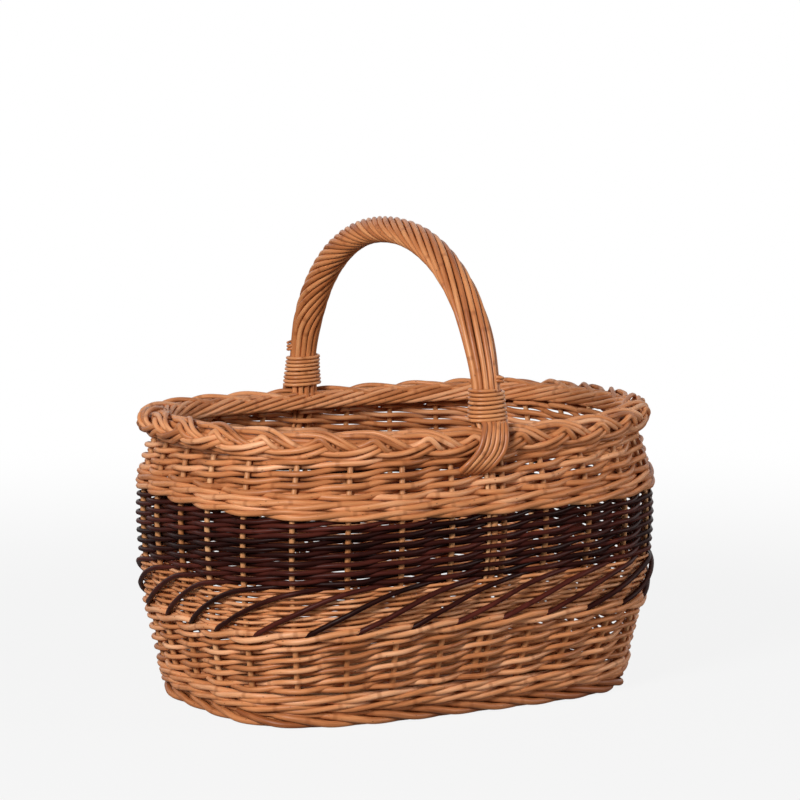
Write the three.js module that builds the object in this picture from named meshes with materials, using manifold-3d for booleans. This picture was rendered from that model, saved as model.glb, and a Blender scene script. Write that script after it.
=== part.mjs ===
// Wicker shopping basket: a rounded rectangular body of willow, woven in bands round upright
// stakes, with a plaited rim, a foot border, a stick base and a roped arch handle.
// Millimetres, +Z up. The origin is on the ground, under the middle of the basket.
// The long sides face -Y (front) and +Y (back), and the handle arches across from front to back.

import * as THREE from 'three';
import { mergeVertices } from 'three/addons/utils/BufferGeometryUtils.js';
import Module from 'manifold-3d';

const wasm = await Module();
wasm.setup();

// Gap between pieces that touch
const fitGap = 0.3;

// Foot border, the ring that stands on the ground, measured to the middle of its section
const footHalfLength = 188;
const footHalfWidth = 124;
const footRoundness = 3.8;
const footWidth = 13;
const footHeight = 13;

// Base: a woven plate round long sticks that are threaded through short ones. Its rods pass over and under the
// short sticks, so it swells there: at each distance from a short stick this share of the swell is left.
const baseLift = 1.5;
const baseThickness = 14;
const baseThinnest = 7.4;
const baseSwell = [[7, 1], [22, 0.52], [32, 0]];
const crossStickDiameter = 9;
const crossStickSpacing = 84;
const crossStickCount = 4;
const longStickDiameter = 5;
const longStickSpacing = 56;
const longStickCount = 3;
const stickTrim = 1;
const stickSides = 6;

// Wall, measured to the line of the stakes: it flares from the foot to a shoulder and draws in to the mouth.
// It starts this far outside the middle of the foot border, at the ends and at the sides.
const wallStart = 8;
const startEndStep = 2.3;
const startSideStep = -1.3;
const startRoundness = 3.6;
const shoulderHeight = 165;
const shoulderHalfLength = 209.5;
const shoulderHalfWidth = 169;
const shoulderRoundness = 3.1;
const mouthHeight = 226;
const mouthHalfLength = 201;
const mouthHalfWidth = 161;
const mouthRoundness = 2.8;
const flareCurve = 1.6;
const drawCurve = 2;

// Rows aren't level: at the waist they dip at the short ends, and at the rim they rise there
const waistSag = -8;
const rimSag = 6;

// Heights of the bands of weaving: the lower randing takes what the others leave of the wall's height.
// The dark band's wall bends this far below its top.
const upsettHeight = 14;
const waistWaleHeight = 12;
const fineRandingHeight = 41;
const darkRandingHeight = 51;
const darkBendDrop = 26;
const upperWaleHeight = 16;
const upperRandingHeight = 31;

// How far each kind of weaving stands out from the line of the stakes, and in from it
const waleOut = 7;
const waleIn = 6;
const randingOut = 6;
const randingIn = 5.5;
const darkOut = 5.5;
const darkIn = 5;
const fineOut = 5;
const fineIn = 4.6;

// Stakes, the uprights of the wall
const stakeCount = 28;
const stakeDiameter = 5;
const stakeSides = 5;
const middleStakeStep = 4.5;

// Plaited rim: the middle of its section lies this far outside the mouth, at the ends and at the sides
const rimEndStep = 8.5;
const rimSideStep = -4;
const rimRoundness = 2.5;
const rimWidth = 30;
const rimHeight = 25;
const cornerCut = 0.45;

// Plait of the rim, the same in every stake space. Three lines a space run with its rods, from the outer edge
// underneath, up the outer side and over the top to the inner edge. Each line has angles round the section, from
// the outer side upwards, and places along the rim in stake spaces. Above, two lines are a falling pair of rods
// and one is the hollow beside it. Below, two are a climbing pair, and the pair above dips in under it.
const plaitShift = 0.48;
const plaitDepth = 4.5;
const plaitPlaces = [0, 0.36, 0.74];
const plaitLine = [
  { angle: -61.6, place: -0.2, dips: [0, 0, 0] },
  { angle: -47, place: 0.02, dips: [0.8, 0, 0] },
  { angle: -31, place: 0.21, dips: [1, 0, 0] },
  { angle: -14, place: 0.41, dips: [1, 0, 0.1] },
  { angle: 3, place: 0.6, dips: [0.6, 0.2, 0.4] },
  { angle: 19, place: 0.49, dips: [0.1, 0.8, 0.2] },
  { angle: 36, place: 0.37, dips: [0, 1, 0] },
  { angle: 54, place: 0.24, dips: [0, 1, 0] },
  { angle: 74, place: 0.08, dips: [0, 1, 0] },
  { angle: 96, place: -0.15, dips: [0, 0.8, 0] },
  { angle: 118.4, place: -0.43, dips: [0, 0, 0] },
];
const innerPlaces = [-0.4, -0.3, -0.2];

// Handle: a bow that arches from the front wall to the back wall and is pushed down beside the middle stakes
const handleX = -5;
const handleTop = 401;
const archRoundness = 2.1;
const bowDiameter = 12.2;
const bowBoundDiameter = 10;
const bowEndDiameter = 7;
const bowEndHeight = 40;
const bowSides = 6;
const archSteps = 24;

// Rods that are roped round the bow: they twist by a number of steps, each the distance from a rod to the
// next, draw in to a neck above each binding, spread inside it into lanes beside each other, and leave the
// handle over the outside of the rim
const ropeRodCount = 12;
const ropeRodDiameter = 4.2;
const ropeRodSides = 5;
const ropeHalfDepth = 9.2;
const ropeHalfWidth = 11.5;
const backTwistSteps = 17;
const backTwistCurve = 1.3;
const frontTwistSteps = 9;
const frontTwistCurve = 1.9;
const ropeBackSteps = 20;
const ropeFrontSteps = 12;
const neckLength = 45;
const neckWidthShare = 0.83;
const neckDepthShare = 0.92;
const laneSpacing = 4.65;
const outerLanes = 7;
const rowBend = 2.4;
const rowBendCurve = 4;
const tailSlope = 0.3;
const tailDrop = 4;

// Binding that ties the rods to the bow above the rim
const bindingLift = 1;
const bindingRodDiameter = 2.8;
const bindingPitch = 3.35;
const bindingLoops = 8;
const bindingSlack = 0.95;
const bindingFootRoundness = 4;
const bindingNeckRoundness = 2.4;
const loopSteps = 16;
const loopSides = 5;

// How finely an outline is measured, how near corners are merged, and how many steps a ring is drawn with
const outlineSamples = 720;
const mergeDistance = 1e-4;
const ringSteps = 48;

const upsettTop = footHeight + upsettHeight;
const upperWaleTop = mouthHeight - upperRandingHeight;
const darkRandingTop = upperWaleTop - upperWaleHeight;
const darkRandingMiddle = darkRandingTop - darkBendDrop;
const fineRandingTop = darkRandingTop - darkRandingHeight;
const waistWaleTop = fineRandingTop - fineRandingHeight;
const lowerRandingTop = waistWaleTop - waistWaleHeight;
const startHalfLength = footHalfLength + startEndStep;
const startHalfWidth = footHalfWidth + startSideStep;
const stakeStart = footHeight + fitGap;
const rimBottom = mouthHeight + fitGap;
const rimTop = rimBottom + rimHeight;
const rimHalfLength = mouthHalfLength + rimEndStep;
const rimHalfWidth = mouthHalfWidth + rimSideStep;
const ropeRodRadius = ropeRodDiameter / 2;
const wallKnots = [
  stakeStart, lowerRandingTop, fineRandingTop, darkRandingMiddle, darkRandingTop, mouthHeight,
];

// Outline of a rounded rectangle, measured so that places on it are found by their share of its length.
// Shares run from the front middle towards the right, anticlockwise seen from above.
const knownOutlines = new Map();

function outline(halfLength, halfWidth, roundness) {
  const key = [halfLength, halfWidth, roundness].join(' ');
  if (!knownOutlines.has(key)) {
    knownOutlines.set(key, measureOutline(halfLength, halfWidth, roundness));
  }
  return knownOutlines.get(key);
}

function measureOutline(halfLength, halfWidth, roundness) {
  const points = [];
  const lengths = [0];
  for (let i = 0; i <= outlineSamples; i++) {
    const angle = -Math.PI / 2 + (2 * Math.PI * i) / outlineSamples;
    const x = Math.cos(angle);
    const y = Math.sin(angle);
    const reach = Math.abs(x / halfLength) ** roundness + Math.abs(y / halfWidth) ** roundness;
    points.push(new THREE.Vector2(x, y).multiplyScalar(reach ** (-1 / roundness)));
    if (i > 0) {
      lengths.push(lengths[i - 1] + points[i].distanceTo(points[i - 1]));
    }
  }
  return { halfLength, halfWidth, roundness, points, lengths, perimeter: lengths[outlineSamples] };
}

function outlinePlace(shape, share) {
  const wanted = (share - Math.floor(share)) * shape.perimeter;
  let low = 0;
  let high = outlineSamples;
  while (high - low > 1) {
    const middle = (low + high) >> 1;
    if (shape.lengths[middle] <= wanted) {
      low = middle;
    } else {
      high = middle;
    }
  }
  const part = (wanted - shape.lengths[low]) / (shape.lengths[high] - shape.lengths[low]);
  const point = shape.points[low].clone().lerp(shape.points[high], part);
  const power = shape.roundness - 1;
  const normal = new THREE.Vector2(
    (Math.sign(point.x) * Math.abs(point.x / shape.halfLength) ** power) / shape.halfLength,
    (Math.sign(point.y) * Math.abs(point.y / shape.halfWidth) ** power) / shape.halfWidth,
  ).normalize();
  const tangent = new THREE.Vector2(-normal.y, normal.x);
  return { point, normal, tangent };
}

// Half length of the straight line across an outline at a distance from its middle
function halfChord(half, otherHalf, roundness, distance) {
  return half * (1 - Math.abs(distance / otherHalf) ** roundness) ** (1 / roundness);
}

// Shape of the wall at a height
function wallShape(height) {
  const below = THREE.MathUtils.clamp((shoulderHeight - height) / (shoulderHeight - wallStart), 0, 1);
  const above = THREE.MathUtils.clamp((height - shoulderHeight) / (mouthHeight - shoulderHeight), 0, 1);
  const flare = below ** flareCurve;
  const draw = above ** drawCurve;
  const between = (start, shoulder, mouth) => (
    shoulder - (shoulder - start) * flare - (shoulder - mouth) * draw
  );
  return outline(
    between(startHalfLength, shoulderHalfLength, mouthHalfLength),
    between(startHalfWidth, shoulderHalfWidth, mouthHalfWidth),
    startRoundness + (shoulderRoundness - startRoundness) * (1 - below)
      + (mouthRoundness - shoulderRoundness) * above,
  );
}

// How far the rows lie above or below their level at a place
function rowLift(height, x, y) {
  let sag = rimSag;
  if (height < lowerRandingTop) {
    sag = waistSag * Math.max(0, (height - stakeStart) / (lowerRandingTop - stakeStart));
  } else if (height < fineRandingTop) {
    sag = waistSag * ((fineRandingTop - height) / (fineRandingTop - lowerRandingTop));
  } else if (height < mouthHeight) {
    sag = rimSag * ((height - fineRandingTop) / (mouthHeight - fineRandingTop));
  }
  return (sag * ((x / shoulderHalfLength) ** 2 - (y / shoulderHalfWidth) ** 2)) / 2;
}

// A place on the wall: straight between the heights in wallKnots, so that stakes, grooves and bands agree.
// The place is given by its share of the way round, a distance along the wall and one out of it.
function wallPlace(height, share, along, out) {
  let knot = 0;
  while (knot < wallKnots.length - 2 && height > wallKnots[knot + 1]) {
    knot += 1;
  }
  const flat = (level) => {
    const place = outlinePlace(wallShape(level), share);
    return place.point.addScaledVector(place.tangent, along).addScaledVector(place.normal, out);
  };
  const part = (height - wallKnots[knot]) / (wallKnots[knot + 1] - wallKnots[knot]);
  const spot = flat(wallKnots[knot]).lerp(flat(wallKnots[knot + 1]), part);
  return new THREE.Vector3(spot.x, spot.y, height + rowLift(height, spot.x, spot.y));
}

// Share of the way round, and the step aside that makes room for the bow at the two middle stakes
function stakeSeat(index) {
  const share = index / stakeCount;
  if (index === 0) {
    return { share, along: middleStakeStep };
  }
  if (index === stakeCount / 2) {
    return { share, along: -middleStakeStep };
  }
  return { share, along: 0 };
}

function nextStakeSeat(index) {
  const seat = stakeSeat((index + 1) % stakeCount);
  return { share: (index + 1) / stakeCount, along: seat.along };
}

// Closed mesh from rows of corners and triangles of corner numbers, with its faces turned outwards
function solid(corners, triangles) {
  const positions = corners.flatMap((corner) => [corner.x, corner.y, corner.z]);
  let volume = 0;
  for (const [a, b, c] of triangles) {
    volume += corners[a].dot(corners[b].clone().cross(corners[c]));
  }
  const turned = volume < 0 ? triangles.map(([a, b, c]) => [a, c, b]) : triangles;
  const geometry = new THREE.BufferGeometry();
  geometry.setAttribute('position', new THREE.Float32BufferAttribute(positions, 3));
  geometry.setIndex(turned.flat());
  return geometry;
}

// Side faces between equal rows of corners: rows may close on the first row, or be capped
function skin(rows, closed) {
  const corners = rows.flat();
  const triangles = [];
  const sides = rows[0].length;
  const spans = closed ? rows.length : rows.length - 1;
  for (let row = 0; row < spans; row++) {
    const here = row * sides;
    const there = ((row + 1) % rows.length) * sides;
    for (let i = 0; i < sides; i++) {
      const next = (i + 1) % sides;
      triangles.push([here + i, here + next, there + next], [here + i, there + next, there + i]);
    }
  }
  if (!closed) {
    const last = (rows.length - 1) * sides;
    for (let i = 1; i < sides - 1; i++) {
      triangles.push([0, i + 1, i], [last, last + i, last + i + 1]);
    }
  }
  return solid(corners, triangles);
}

// Round rod along a path of points, with a radius at each point
function rod(path, radii, sides) {
  const rows = [];
  const last = path.length - 1;
  let across = null;
  for (let i = 0; i <= last; i++) {
    const ahead = path[Math.min(i + 1, last)];
    const behind = path[Math.max(i - 1, 0)];
    const tangent = ahead.clone().sub(behind).normalize();
    if (across === null) {
      const spare = Math.abs(tangent.x) < 0.9 ? new THREE.Vector3(1, 0, 0) : new THREE.Vector3(0, 1, 0);
      across = spare.cross(tangent).normalize();
    }
    across.addScaledVector(tangent, -across.dot(tangent)).normalize();
    const up = tangent.clone().cross(across);
    const row = [];
    for (let side = 0; side < sides; side++) {
      const angle = (2 * Math.PI * side) / sides;
      row.push(
        path[i].clone()
          .addScaledVector(across, Math.cos(angle) * radii[i])
          .addScaledVector(up, Math.sin(angle) * radii[i]),
      );
    }
    rows.push(row);
  }
  return skin(rows, false);
}

function evenRod(path, diameter, sides) {
  return rod(path, path.map(() => diameter / 2), sides);
}

// Corners of a border's section, from its middle: a rectangle with its corners cut, anticlockwise
function borderSection(width, height, grow) {
  const w = width / 2 + grow;
  const h = height / 2 + grow;
  const inW = (width / 2) * cornerCut + grow / 2;
  const inH = (height / 2) * cornerCut + grow / 2;
  return [[w, -inH], [w, inH], [inW, h], [-inW, h], [-w, inH], [-w, -inH], [-inW, -h], [inW, -h]];
}

// Ring with a border's section round an outline
function borderRing(shape, width, bottom, height, levelRow) {
  const rows = [];
  for (let i = 0; i < ringSteps; i++) {
    const place = outlinePlace(shape, i / ringSteps);
    const lift = levelRow ? 0 : rowLift(bottom, place.point.x, place.point.y);
    rows.push(borderSection(width, height, 0).map(([out, up]) => {
      const spot = place.point.clone().addScaledVector(place.normal, out);
      return new THREE.Vector3(spot.x, spot.y, bottom + height / 2 + up + lift);
    }));
  }
  return skin(rows, true);
}

// Band of weaving: a ring between heights with a groove in its outer face for each stake
function band(heights, out, inward) {
  const grooveHalf = stakeDiameter / 2 + fitGap;
  const corners = [];
  const triangles = [];
  const corner = (height, share, along, away) => corners.push(wallPlace(height, share, along, away)) - 1;
  const levels = heights.map((height) => Array.from({ length: stakeCount }, (_, i) => {
    const { share, along } = stakeSeat(i);
    const next = nextStakeSeat(i);
    return {
      leftLip: corner(height, share, along - grooveHalf, out),
      leftRoot: corner(height, share, along - grooveHalf, -grooveHalf),
      rightRoot: corner(height, share, along + grooveHalf, -grooveHalf),
      rightLip: corner(height, share, along + grooveHalf, out),
      between: corner(height, (share + next.share) / 2, (along + next.along) / 2, out),
      inner: corner(height, share, along, -inward),
    };
  }));
  const pair = (level, i) => [level[i], level[(i + 1) % stakeCount]];
  const outerFace = (level, i) => {
    const [here, next] = pair(level, i);
    return [here.leftLip, here.leftRoot, here.rightRoot, here.rightLip, here.between, next.leftLip];
  };
  const innerFace = (level, i) => pair(level, i).map(({ inner }) => inner).reverse();
  const wall = (low, high) => {
    for (let k = 1; k < low.length; k++) {
      triangles.push([low[k - 1], low[k], high[k]], [low[k - 1], high[k], high[k - 1]]);
    }
  };
  const cap = (level, i, top) => {
    const [here, next] = pair(level, i);
    const fan = [
      [here.inner, here.leftRoot, here.rightRoot],
      [here.inner, here.rightRoot, here.between],
      [here.rightRoot, here.rightLip, here.between],
      [here.inner, here.between, next.inner],
      [next.inner, here.between, next.leftRoot],
      [here.between, next.leftLip, next.leftRoot],
    ];
    triangles.push(...fan.map(([p, q, r]) => (top ? [p, q, r] : [p, r, q])));
  };
  for (let i = 0; i < stakeCount; i++) {
    for (let k = 1; k < levels.length; k++) {
      wall(outerFace(levels[k - 1], i), outerFace(levels[k], i));
      wall(innerFace(levels[k - 1], i), innerFace(levels[k], i));
    }
    cap(levels[0], i, false);
    cap(levels.at(-1), i, true);
  }
  return solid(corners, triangles);
}

// Cutting one piece by another
function toManifold(geometry) {
  const bare = geometry.clone();
  bare.deleteAttribute('normal');
  bare.deleteAttribute('uv');
  const merged = mergeVertices(bare, mergeDistance);
  return new wasm.Manifold(new wasm.Mesh({
    numProp: 3,
    vertProperties: new Float32Array(merged.attributes.position.array),
    triVerts: new Uint32Array(merged.index.array),
  }));
}

function fromManifold(body) {
  const mesh = body.getMesh();
  const result = new THREE.BufferGeometry();
  result.setAttribute('position', new THREE.BufferAttribute(new Float32Array(mesh.vertProperties), 3));
  result.setIndex(new THREE.BufferAttribute(new Uint32Array(mesh.triVerts), 1));
  return result;
}

function cut(geometry, tools) {
  const bodies = tools.map(toManifold);
  return fromManifold(bodies.reduce((body, tool) => body.subtract(tool), toManifold(geometry)));
}

// The part of one piece that lies inside another
function common(geometry, other) {
  return fromManifold(toManifold(geometry).intersect(toManifold(other)));
}

// Materials

function willow(color, roughness) {
  return new THREE.MeshStandardMaterial({ color, roughness, metalness: 0 });
}

const buffWillow = () => willow('#c98f5e', 0.5);
const paleWillow = () => willow('#d39d6c', 0.55);
const handleWillow = () => willow('#c4855a', 0.42);
const darkWillow = () => willow('#4a2822', 0.5);
const baseWillow = () => willow('#b57f52', 0.6);

const basket = new THREE.Group();

function add(name, geometry, material) {
  const mesh = new THREE.Mesh(geometry, material);
  mesh.name = name;
  basket.add(mesh);
}

const numbered = (name, index) => `${name}_${String(index + 1).padStart(2, '0')}`;

// Base

const plateHalfLength = footHalfLength - footWidth / 2 - fitGap;
const plateHalfWidth = footHalfWidth - footWidth / 2 - fitGap;
const stickLevel = baseLift + baseThickness / 2;

function stickGeometry(diameter, length, alongX, offset) {
  const stick = new THREE.CylinderGeometry(diameter / 2, diameter / 2, length, stickSides);
  stick.rotateY(Math.PI / stickSides);
  if (alongX) {
    stick.rotateZ(Math.PI / 2);
    stick.translate(0, offset, stickLevel);
  } else {
    stick.translate(offset, 0, stickLevel);
  }
  return stick;
}

function placesAcross(count, spacing) {
  return Array.from({ length: count }, (_, i) => (i - (count - 1) / 2) * spacing);
}

const longSticks = placesAcross(longStickCount, longStickSpacing).map((offset) => ({
  offset,
  length: 2 * (halfChord(plateHalfLength, plateHalfWidth, footRoundness, offset) - stickTrim),
}));
const crossSticks = placesAcross(crossStickCount, crossStickSpacing).map((offset) => ({
  offset,
  length: 2 * (halfChord(plateHalfWidth, plateHalfLength, footRoundness, offset) - stickTrim),
}));

// Tunnels run out past the edge of the plate
const tunnel = (diameter, stick, alongX) => stickGeometry(
  diameter + 2 * fitGap, stick.length + 4 * stickTrim, alongX, stick.offset,
);
const longTunnels = longSticks.map((stick) => tunnel(longStickDiameter, stick, true));
const crossTunnels = crossSticks.map((stick) => tunnel(crossStickDiameter, stick, false));

// Half of the plate's thickness along the basket, in rising x, past both of its ends
function baseProfile() {
  const half = (share) => THREE.MathUtils.lerp(baseThinnest, baseThickness, share) / 2;
  const swells = crossSticks.flatMap(({ offset }) => [
    ...baseSwell.toReversed().map(([step, share]) => [offset - step, half(share)]),
    ...baseSwell.map(([step, share]) => [offset + step, half(share)]),
  ]);
  return [[-footHalfLength, half(0)], ...swells, [footHalfLength, half(0)]];
}

function baseWeave() {
  const edge = outline(plateHalfLength, plateHalfWidth, footRoundness);
  const shape = new THREE.Shape(
    Array.from({ length: ringSteps }, (_, i) => outlinePlace(edge, i / ringSteps).point),
  );
  const plate = new THREE.ExtrudeGeometry(shape, { depth: 2 * baseThickness, bevelEnabled: false });
  plate.translate(0, 0, stickLevel - baseThickness);
  const profile = baseProfile();
  const side = new THREE.Shape([
    ...profile.map(([x, half]) => new THREE.Vector2(x, stickLevel - half)),
    ...profile.toReversed().map(([x, half]) => new THREE.Vector2(x, stickLevel + half)),
  ]);
  const waves = new THREE.ExtrudeGeometry(side, { depth: 2 * footHalfWidth, bevelEnabled: false });
  waves.rotateX(Math.PI / 2);
  waves.translate(0, footHalfWidth, 0);
  return cut(common(plate, waves), [...longTunnels, ...crossTunnels]);
}

add('base_weave', baseWeave(), baseWillow());
longSticks.forEach((stick, i) => {
  const piece = stickGeometry(longStickDiameter, stick.length, true, stick.offset);
  add(numbered('base_long_stick', i), piece, paleWillow());
});
crossSticks.forEach((stick, i) => {
  const piece = stickGeometry(crossStickDiameter, stick.length, false, stick.offset);
  add(numbered('base_cross_stick', i), cut(piece, longTunnels), paleWillow());
});

const footShape = outline(footHalfLength, footHalfWidth, footRoundness);
add('foot_border', borderRing(footShape, footWidth, 0, footHeight, true), buffWillow());

// Handle bow

const rimShape = outline(rimHalfLength, rimHalfWidth, rimRoundness);

// Middle line of the arch, which stands on the middle of the rim, from its back foot to its front foot
function archPlaces() {
  const samples = [];
  const lengths = [0];
  for (let i = 0; i <= outlineSamples; i++) {
    const angle = (Math.PI * i) / outlineSamples;
    const c = Math.cos(angle);
    const power = 2 / archRoundness;
    samples.push(new THREE.Vector3(
      handleX,
      rimHalfWidth * Math.sign(c) * Math.abs(c) ** power,
      rimTop + (handleTop - rimTop) * Math.sin(angle) ** power,
    ));
    if (i > 0) {
      lengths.push(lengths[i - 1] + samples[i].distanceTo(samples[i - 1]));
    }
  }
  return { samples, lengths, total: lengths[outlineSamples] };
}

const arch = archPlaces();

// Place, direction along the arch and direction out of it, at a distance from the back foot
function archPlace(distance) {
  const wanted = THREE.MathUtils.clamp(distance, 0, arch.total);
  let i = 1;
  while (i < outlineSamples && arch.lengths[i] < wanted) {
    i += 1;
  }
  const part = (wanted - arch.lengths[i - 1]) / (arch.lengths[i] - arch.lengths[i - 1]);
  const point = arch.samples[i - 1].clone().lerp(arch.samples[i], part);
  const tangent = arch.samples[i].clone().sub(arch.samples[i - 1]).normalize();
  const side = new THREE.Vector3(-1, 0, 0);
  const out = side.clone().cross(tangent);
  return { point, tangent, side, out };
}

// Distance along the arch at which it reaches a height above its back foot
function archDistance(height) {
  let i = 1;
  while (arch.samples[i].z < height) {
    i += 1;
  }
  return arch.lengths[i];
}

// The bow inside a wall, from its end up to the mouth: the front wall is at share 0, the back wall at 0.5
function bowLeg(share) {
  const along = share === 0 ? handleX : -handleX;
  const heights = [bowEndHeight, ...wallKnots.filter((height) => height > bowEndHeight)];
  return heights.map((height) => wallPlace(height, share, along, 0));
}

const bindingBottom = rimTop + bindingLift;
const bindingTop = bindingBottom + bindingLoops * bindingPitch + bindingRodDiameter;

function bowGeometry(grow) {
  const backLeg = bowLeg(0.5);
  const frontLeg = bowLeg(0);
  const archPath = Array.from(
    { length: archSteps + 1 },
    (_, i) => archPlace((arch.total * i) / archSteps).point,
  );
  const archRadius = (point) => {
    const opened = THREE.MathUtils.smoothstep(point.z, bindingTop, bindingTop + neckLength);
    return THREE.MathUtils.lerp(bowBoundDiameter, bowDiameter, opened) / 2 + grow;
  };
  const legRadii = backLeg.map(() => bowEndDiameter / 2 + grow);
  const path = [...backLeg, ...archPath, ...frontLeg.toReversed()];
  return rod(path, [...legRadii, ...archPath.map(archRadius), ...legRadii], bowSides);
}

const bowRoom = bowGeometry(fitGap);
add('handle_bow', bowGeometry(0), paleWillow());

// Wall

const bands = [
  { name: 'upsett_wale', bottom: footHeight, top: upsettTop, out: waleOut, inward: waleIn },
  { name: 'lower_randing', bottom: upsettTop, top: lowerRandingTop, out: randingOut, inward: randingIn },
  { name: 'waist_wale', bottom: lowerRandingTop, top: waistWaleTop, out: waleOut, inward: waleIn },
  { name: 'fine_randing', bottom: waistWaleTop, top: fineRandingTop, out: fineOut, inward: fineIn },
  { name: 'dark_randing', bottom: fineRandingTop, top: darkRandingTop, out: darkOut, inward: darkIn },
  { name: 'upper_wale', bottom: darkRandingTop, top: upperWaleTop, out: waleOut, inward: waleIn },
  { name: 'upper_randing', bottom: upperWaleTop, top: mouthHeight, out: randingOut, inward: randingIn },
];

for (const { name, bottom, top, out, inward } of bands) {
  const start = bottom + fitGap;
  const bends = wallKnots.filter((height) => height > start && height < top);
  const ring = band([start, ...bends, top], out, inward);
  const geometry = top > bowEndHeight ? cut(ring, [bowRoom]) : ring;
  add(name, geometry, name === 'dark_randing' ? darkWillow() : buffWillow());
}

// A stake's sections lie level, so that it keeps parallel to its groove
function stake(index) {
  const { share, along } = stakeSeat(index);
  const radius = stakeDiameter / 2;
  return skin(wallKnots.map((height) => Array.from({ length: stakeSides }, (_, side) => {
    const angle = (2 * Math.PI * side) / stakeSides;
    return wallPlace(height, share, along + Math.cos(angle) * radius, Math.sin(angle) * radius);
  })), false);
}

for (let i = 0; i < stakeCount; i++) {
  add(numbered('stake', i), stake(i), paleWillow());
}

// Rim: a ring with the border's section, deeper between the rods of the plait

// Distance from the middle of the rim's section to its border, in a direction
function borderReach(ray) {
  const [, [w, inH], [inW, h]] = borderSection(rimWidth, rimHeight, 0);
  const x = Math.abs(ray.x);
  const y = Math.abs(ray.y);
  const corner = (w * (h - inH) + inH * (w - inW)) / (x * (h - inH) + y * (w - inW));
  return Math.min(w / Math.max(x, 1e-9), h / Math.max(y, 1e-9), corner);
}

// Each row of corners follows a line of the plait, and goes on along the plain inner side
function rimGeometry() {
  const corners = borderSection(rimWidth, rimHeight, 0);
  const rimCorner = (place, out, up) => {
    const { point, normal } = outlinePlace(rimShape, place / stakeCount);
    const spot = point.clone().addScaledVector(normal, out);
    const lift = rowLift(rimBottom, point.x, point.y);
    return new THREE.Vector3(spot.x, spot.y, rimBottom + rimHeight / 2 + up + lift);
  };
  const rows = [];
  for (let space = 0; space < stakeCount; space++) {
    plaitPlaces.forEach((step, row) => {
      const start = space + plaitShift + step;
      const outer = plaitLine.map(({ angle, place, dips }) => {
        const turn = THREE.MathUtils.degToRad(angle);
        const ray = new THREE.Vector2(Math.cos(turn), Math.sin(turn));
        const reach = borderReach(ray) - plaitDepth * dips[row];
        return rimCorner(start + place, reach * ray.x, reach * ray.y);
      });
      const inner = innerPlaces.map((place, i) => rimCorner(start + place, ...corners[4 + i]));
      rows.push([...outer, ...inner]);
    });
  }
  return skin(rows, true);
}

add('top_border', cut(rimGeometry(), [bowRoom]), buffWillow());

// Rods roped round the bow. Each has a place on an oval round the bow, which turns as the rod runs along
// the arch, and a lane beside its neighbours at each foot: some lanes lie outside the bow, the rest inside.

const ropeOval = outline(ropeHalfWidth, ropeHalfDepth, 2);
const totalTwistSteps = backTwistSteps + frontTwistSteps;

// Offset from the bow to the rod at a place in the oval: zero is straight out, and it grows to the side
function ovalOffset(step) {
  const { point } = outlinePlace(ropeOval, 0.5 + step / ropeRodCount);
  return { aside: -point.x, outward: point.y };
}

// Offset from the bow to the rod in its lane at a foot
function laneOffset(step) {
  const lane = ((step % ropeRodCount) + ropeRodCount) % ropeRodCount;
  const outerHalf = (outerLanes - 1) / 2;
  const reach = bowBoundDiameter / 2 + fitGap + ropeRodRadius;
  if (lane <= outerHalf || lane >= ropeRodCount - outerHalf) {
    const place = lane <= outerHalf ? lane : lane - ropeRodCount;
    const bend = rowBend * (place / outerHalf) ** rowBendCurve;
    return { aside: place * laneSpacing, outward: reach - bend, outside: true };
  }
  return { aside: (ropeRodCount / 2 - lane) * laneSpacing, outward: -reach, outside: false };
}

// Twist up to a distance along the arch: it starts and ends half way up the necks, and is quicker at the back
const ropeStart = archDistance(bindingBottom + bindingRodDiameter);
const twistStart = archDistance(bindingTop + neckLength / 2);
function twistAt(distance) {
  const middle = arch.total / 2;
  const run = middle - twistStart;
  if (distance <= middle) {
    const part = THREE.MathUtils.clamp((distance - twistStart) / run, 0, 1);
    return backTwistSteps * part ** backTwistCurve;
  }
  const part = THREE.MathUtils.clamp((arch.total - twistStart - distance) / run, 0, 1);
  return totalTwistSteps - frontTwistSteps * part ** frontTwistCurve;
}

function ropePoint(distance, step) {
  const { point, side, out } = archPlace(distance);
  const twist = twistAt(distance);
  const lane = distance < arch.total / 2 ? laneOffset(step) : laneOffset(step + totalTwistSteps);
  const oval = ovalOffset(step + twist);
  const opened = THREE.MathUtils.smoothstep(point.z, bindingTop, bindingTop + neckLength);
  const gathered = THREE.MathUtils.smoothstep(point.z, bindingBottom, bindingTop);
  const aside = oval.aside * THREE.MathUtils.lerp(neckWidthShare, 1, opened);
  const outward = oval.outward * THREE.MathUtils.lerp(neckDepthShare, 1, opened);
  return point
    .addScaledVector(side, THREE.MathUtils.lerp(lane.aside, aside, gathered))
    .addScaledVector(out, THREE.MathUtils.lerp(lane.outward, outward, gathered));
}

// End of an outer rod: down over the outside of the rim, drifting to the left of someone who faces the foot
function tail(lane, front) {
  const facing = front ? -1 : 1;
  const clearance = ropeRodRadius + fitGap;
  const corners = borderSection(rimWidth, rimHeight, clearance);
  const outside = [corners[2], corners[1], corners[0]];
  const sag = rowLift(rimBottom, 0, rimHalfWidth);
  const end = [corners[0][0] - tailDrop, corners[0][1] - tailDrop];
  const steps = [...outside, end].map(([out, up]) => new THREE.Vector2(out, up));
  let travelled = 0;
  return steps.map((step, i) => {
    travelled += step.distanceTo(steps[Math.max(i - 1, 0)]);
    return new THREE.Vector3(
      handleX - lane.aside + facing * tailSlope * travelled,
      facing * (rimHalfWidth + step.x),
      rimBottom + rimHeight / 2 + step.y + sag,
    );
  });
}

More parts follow.
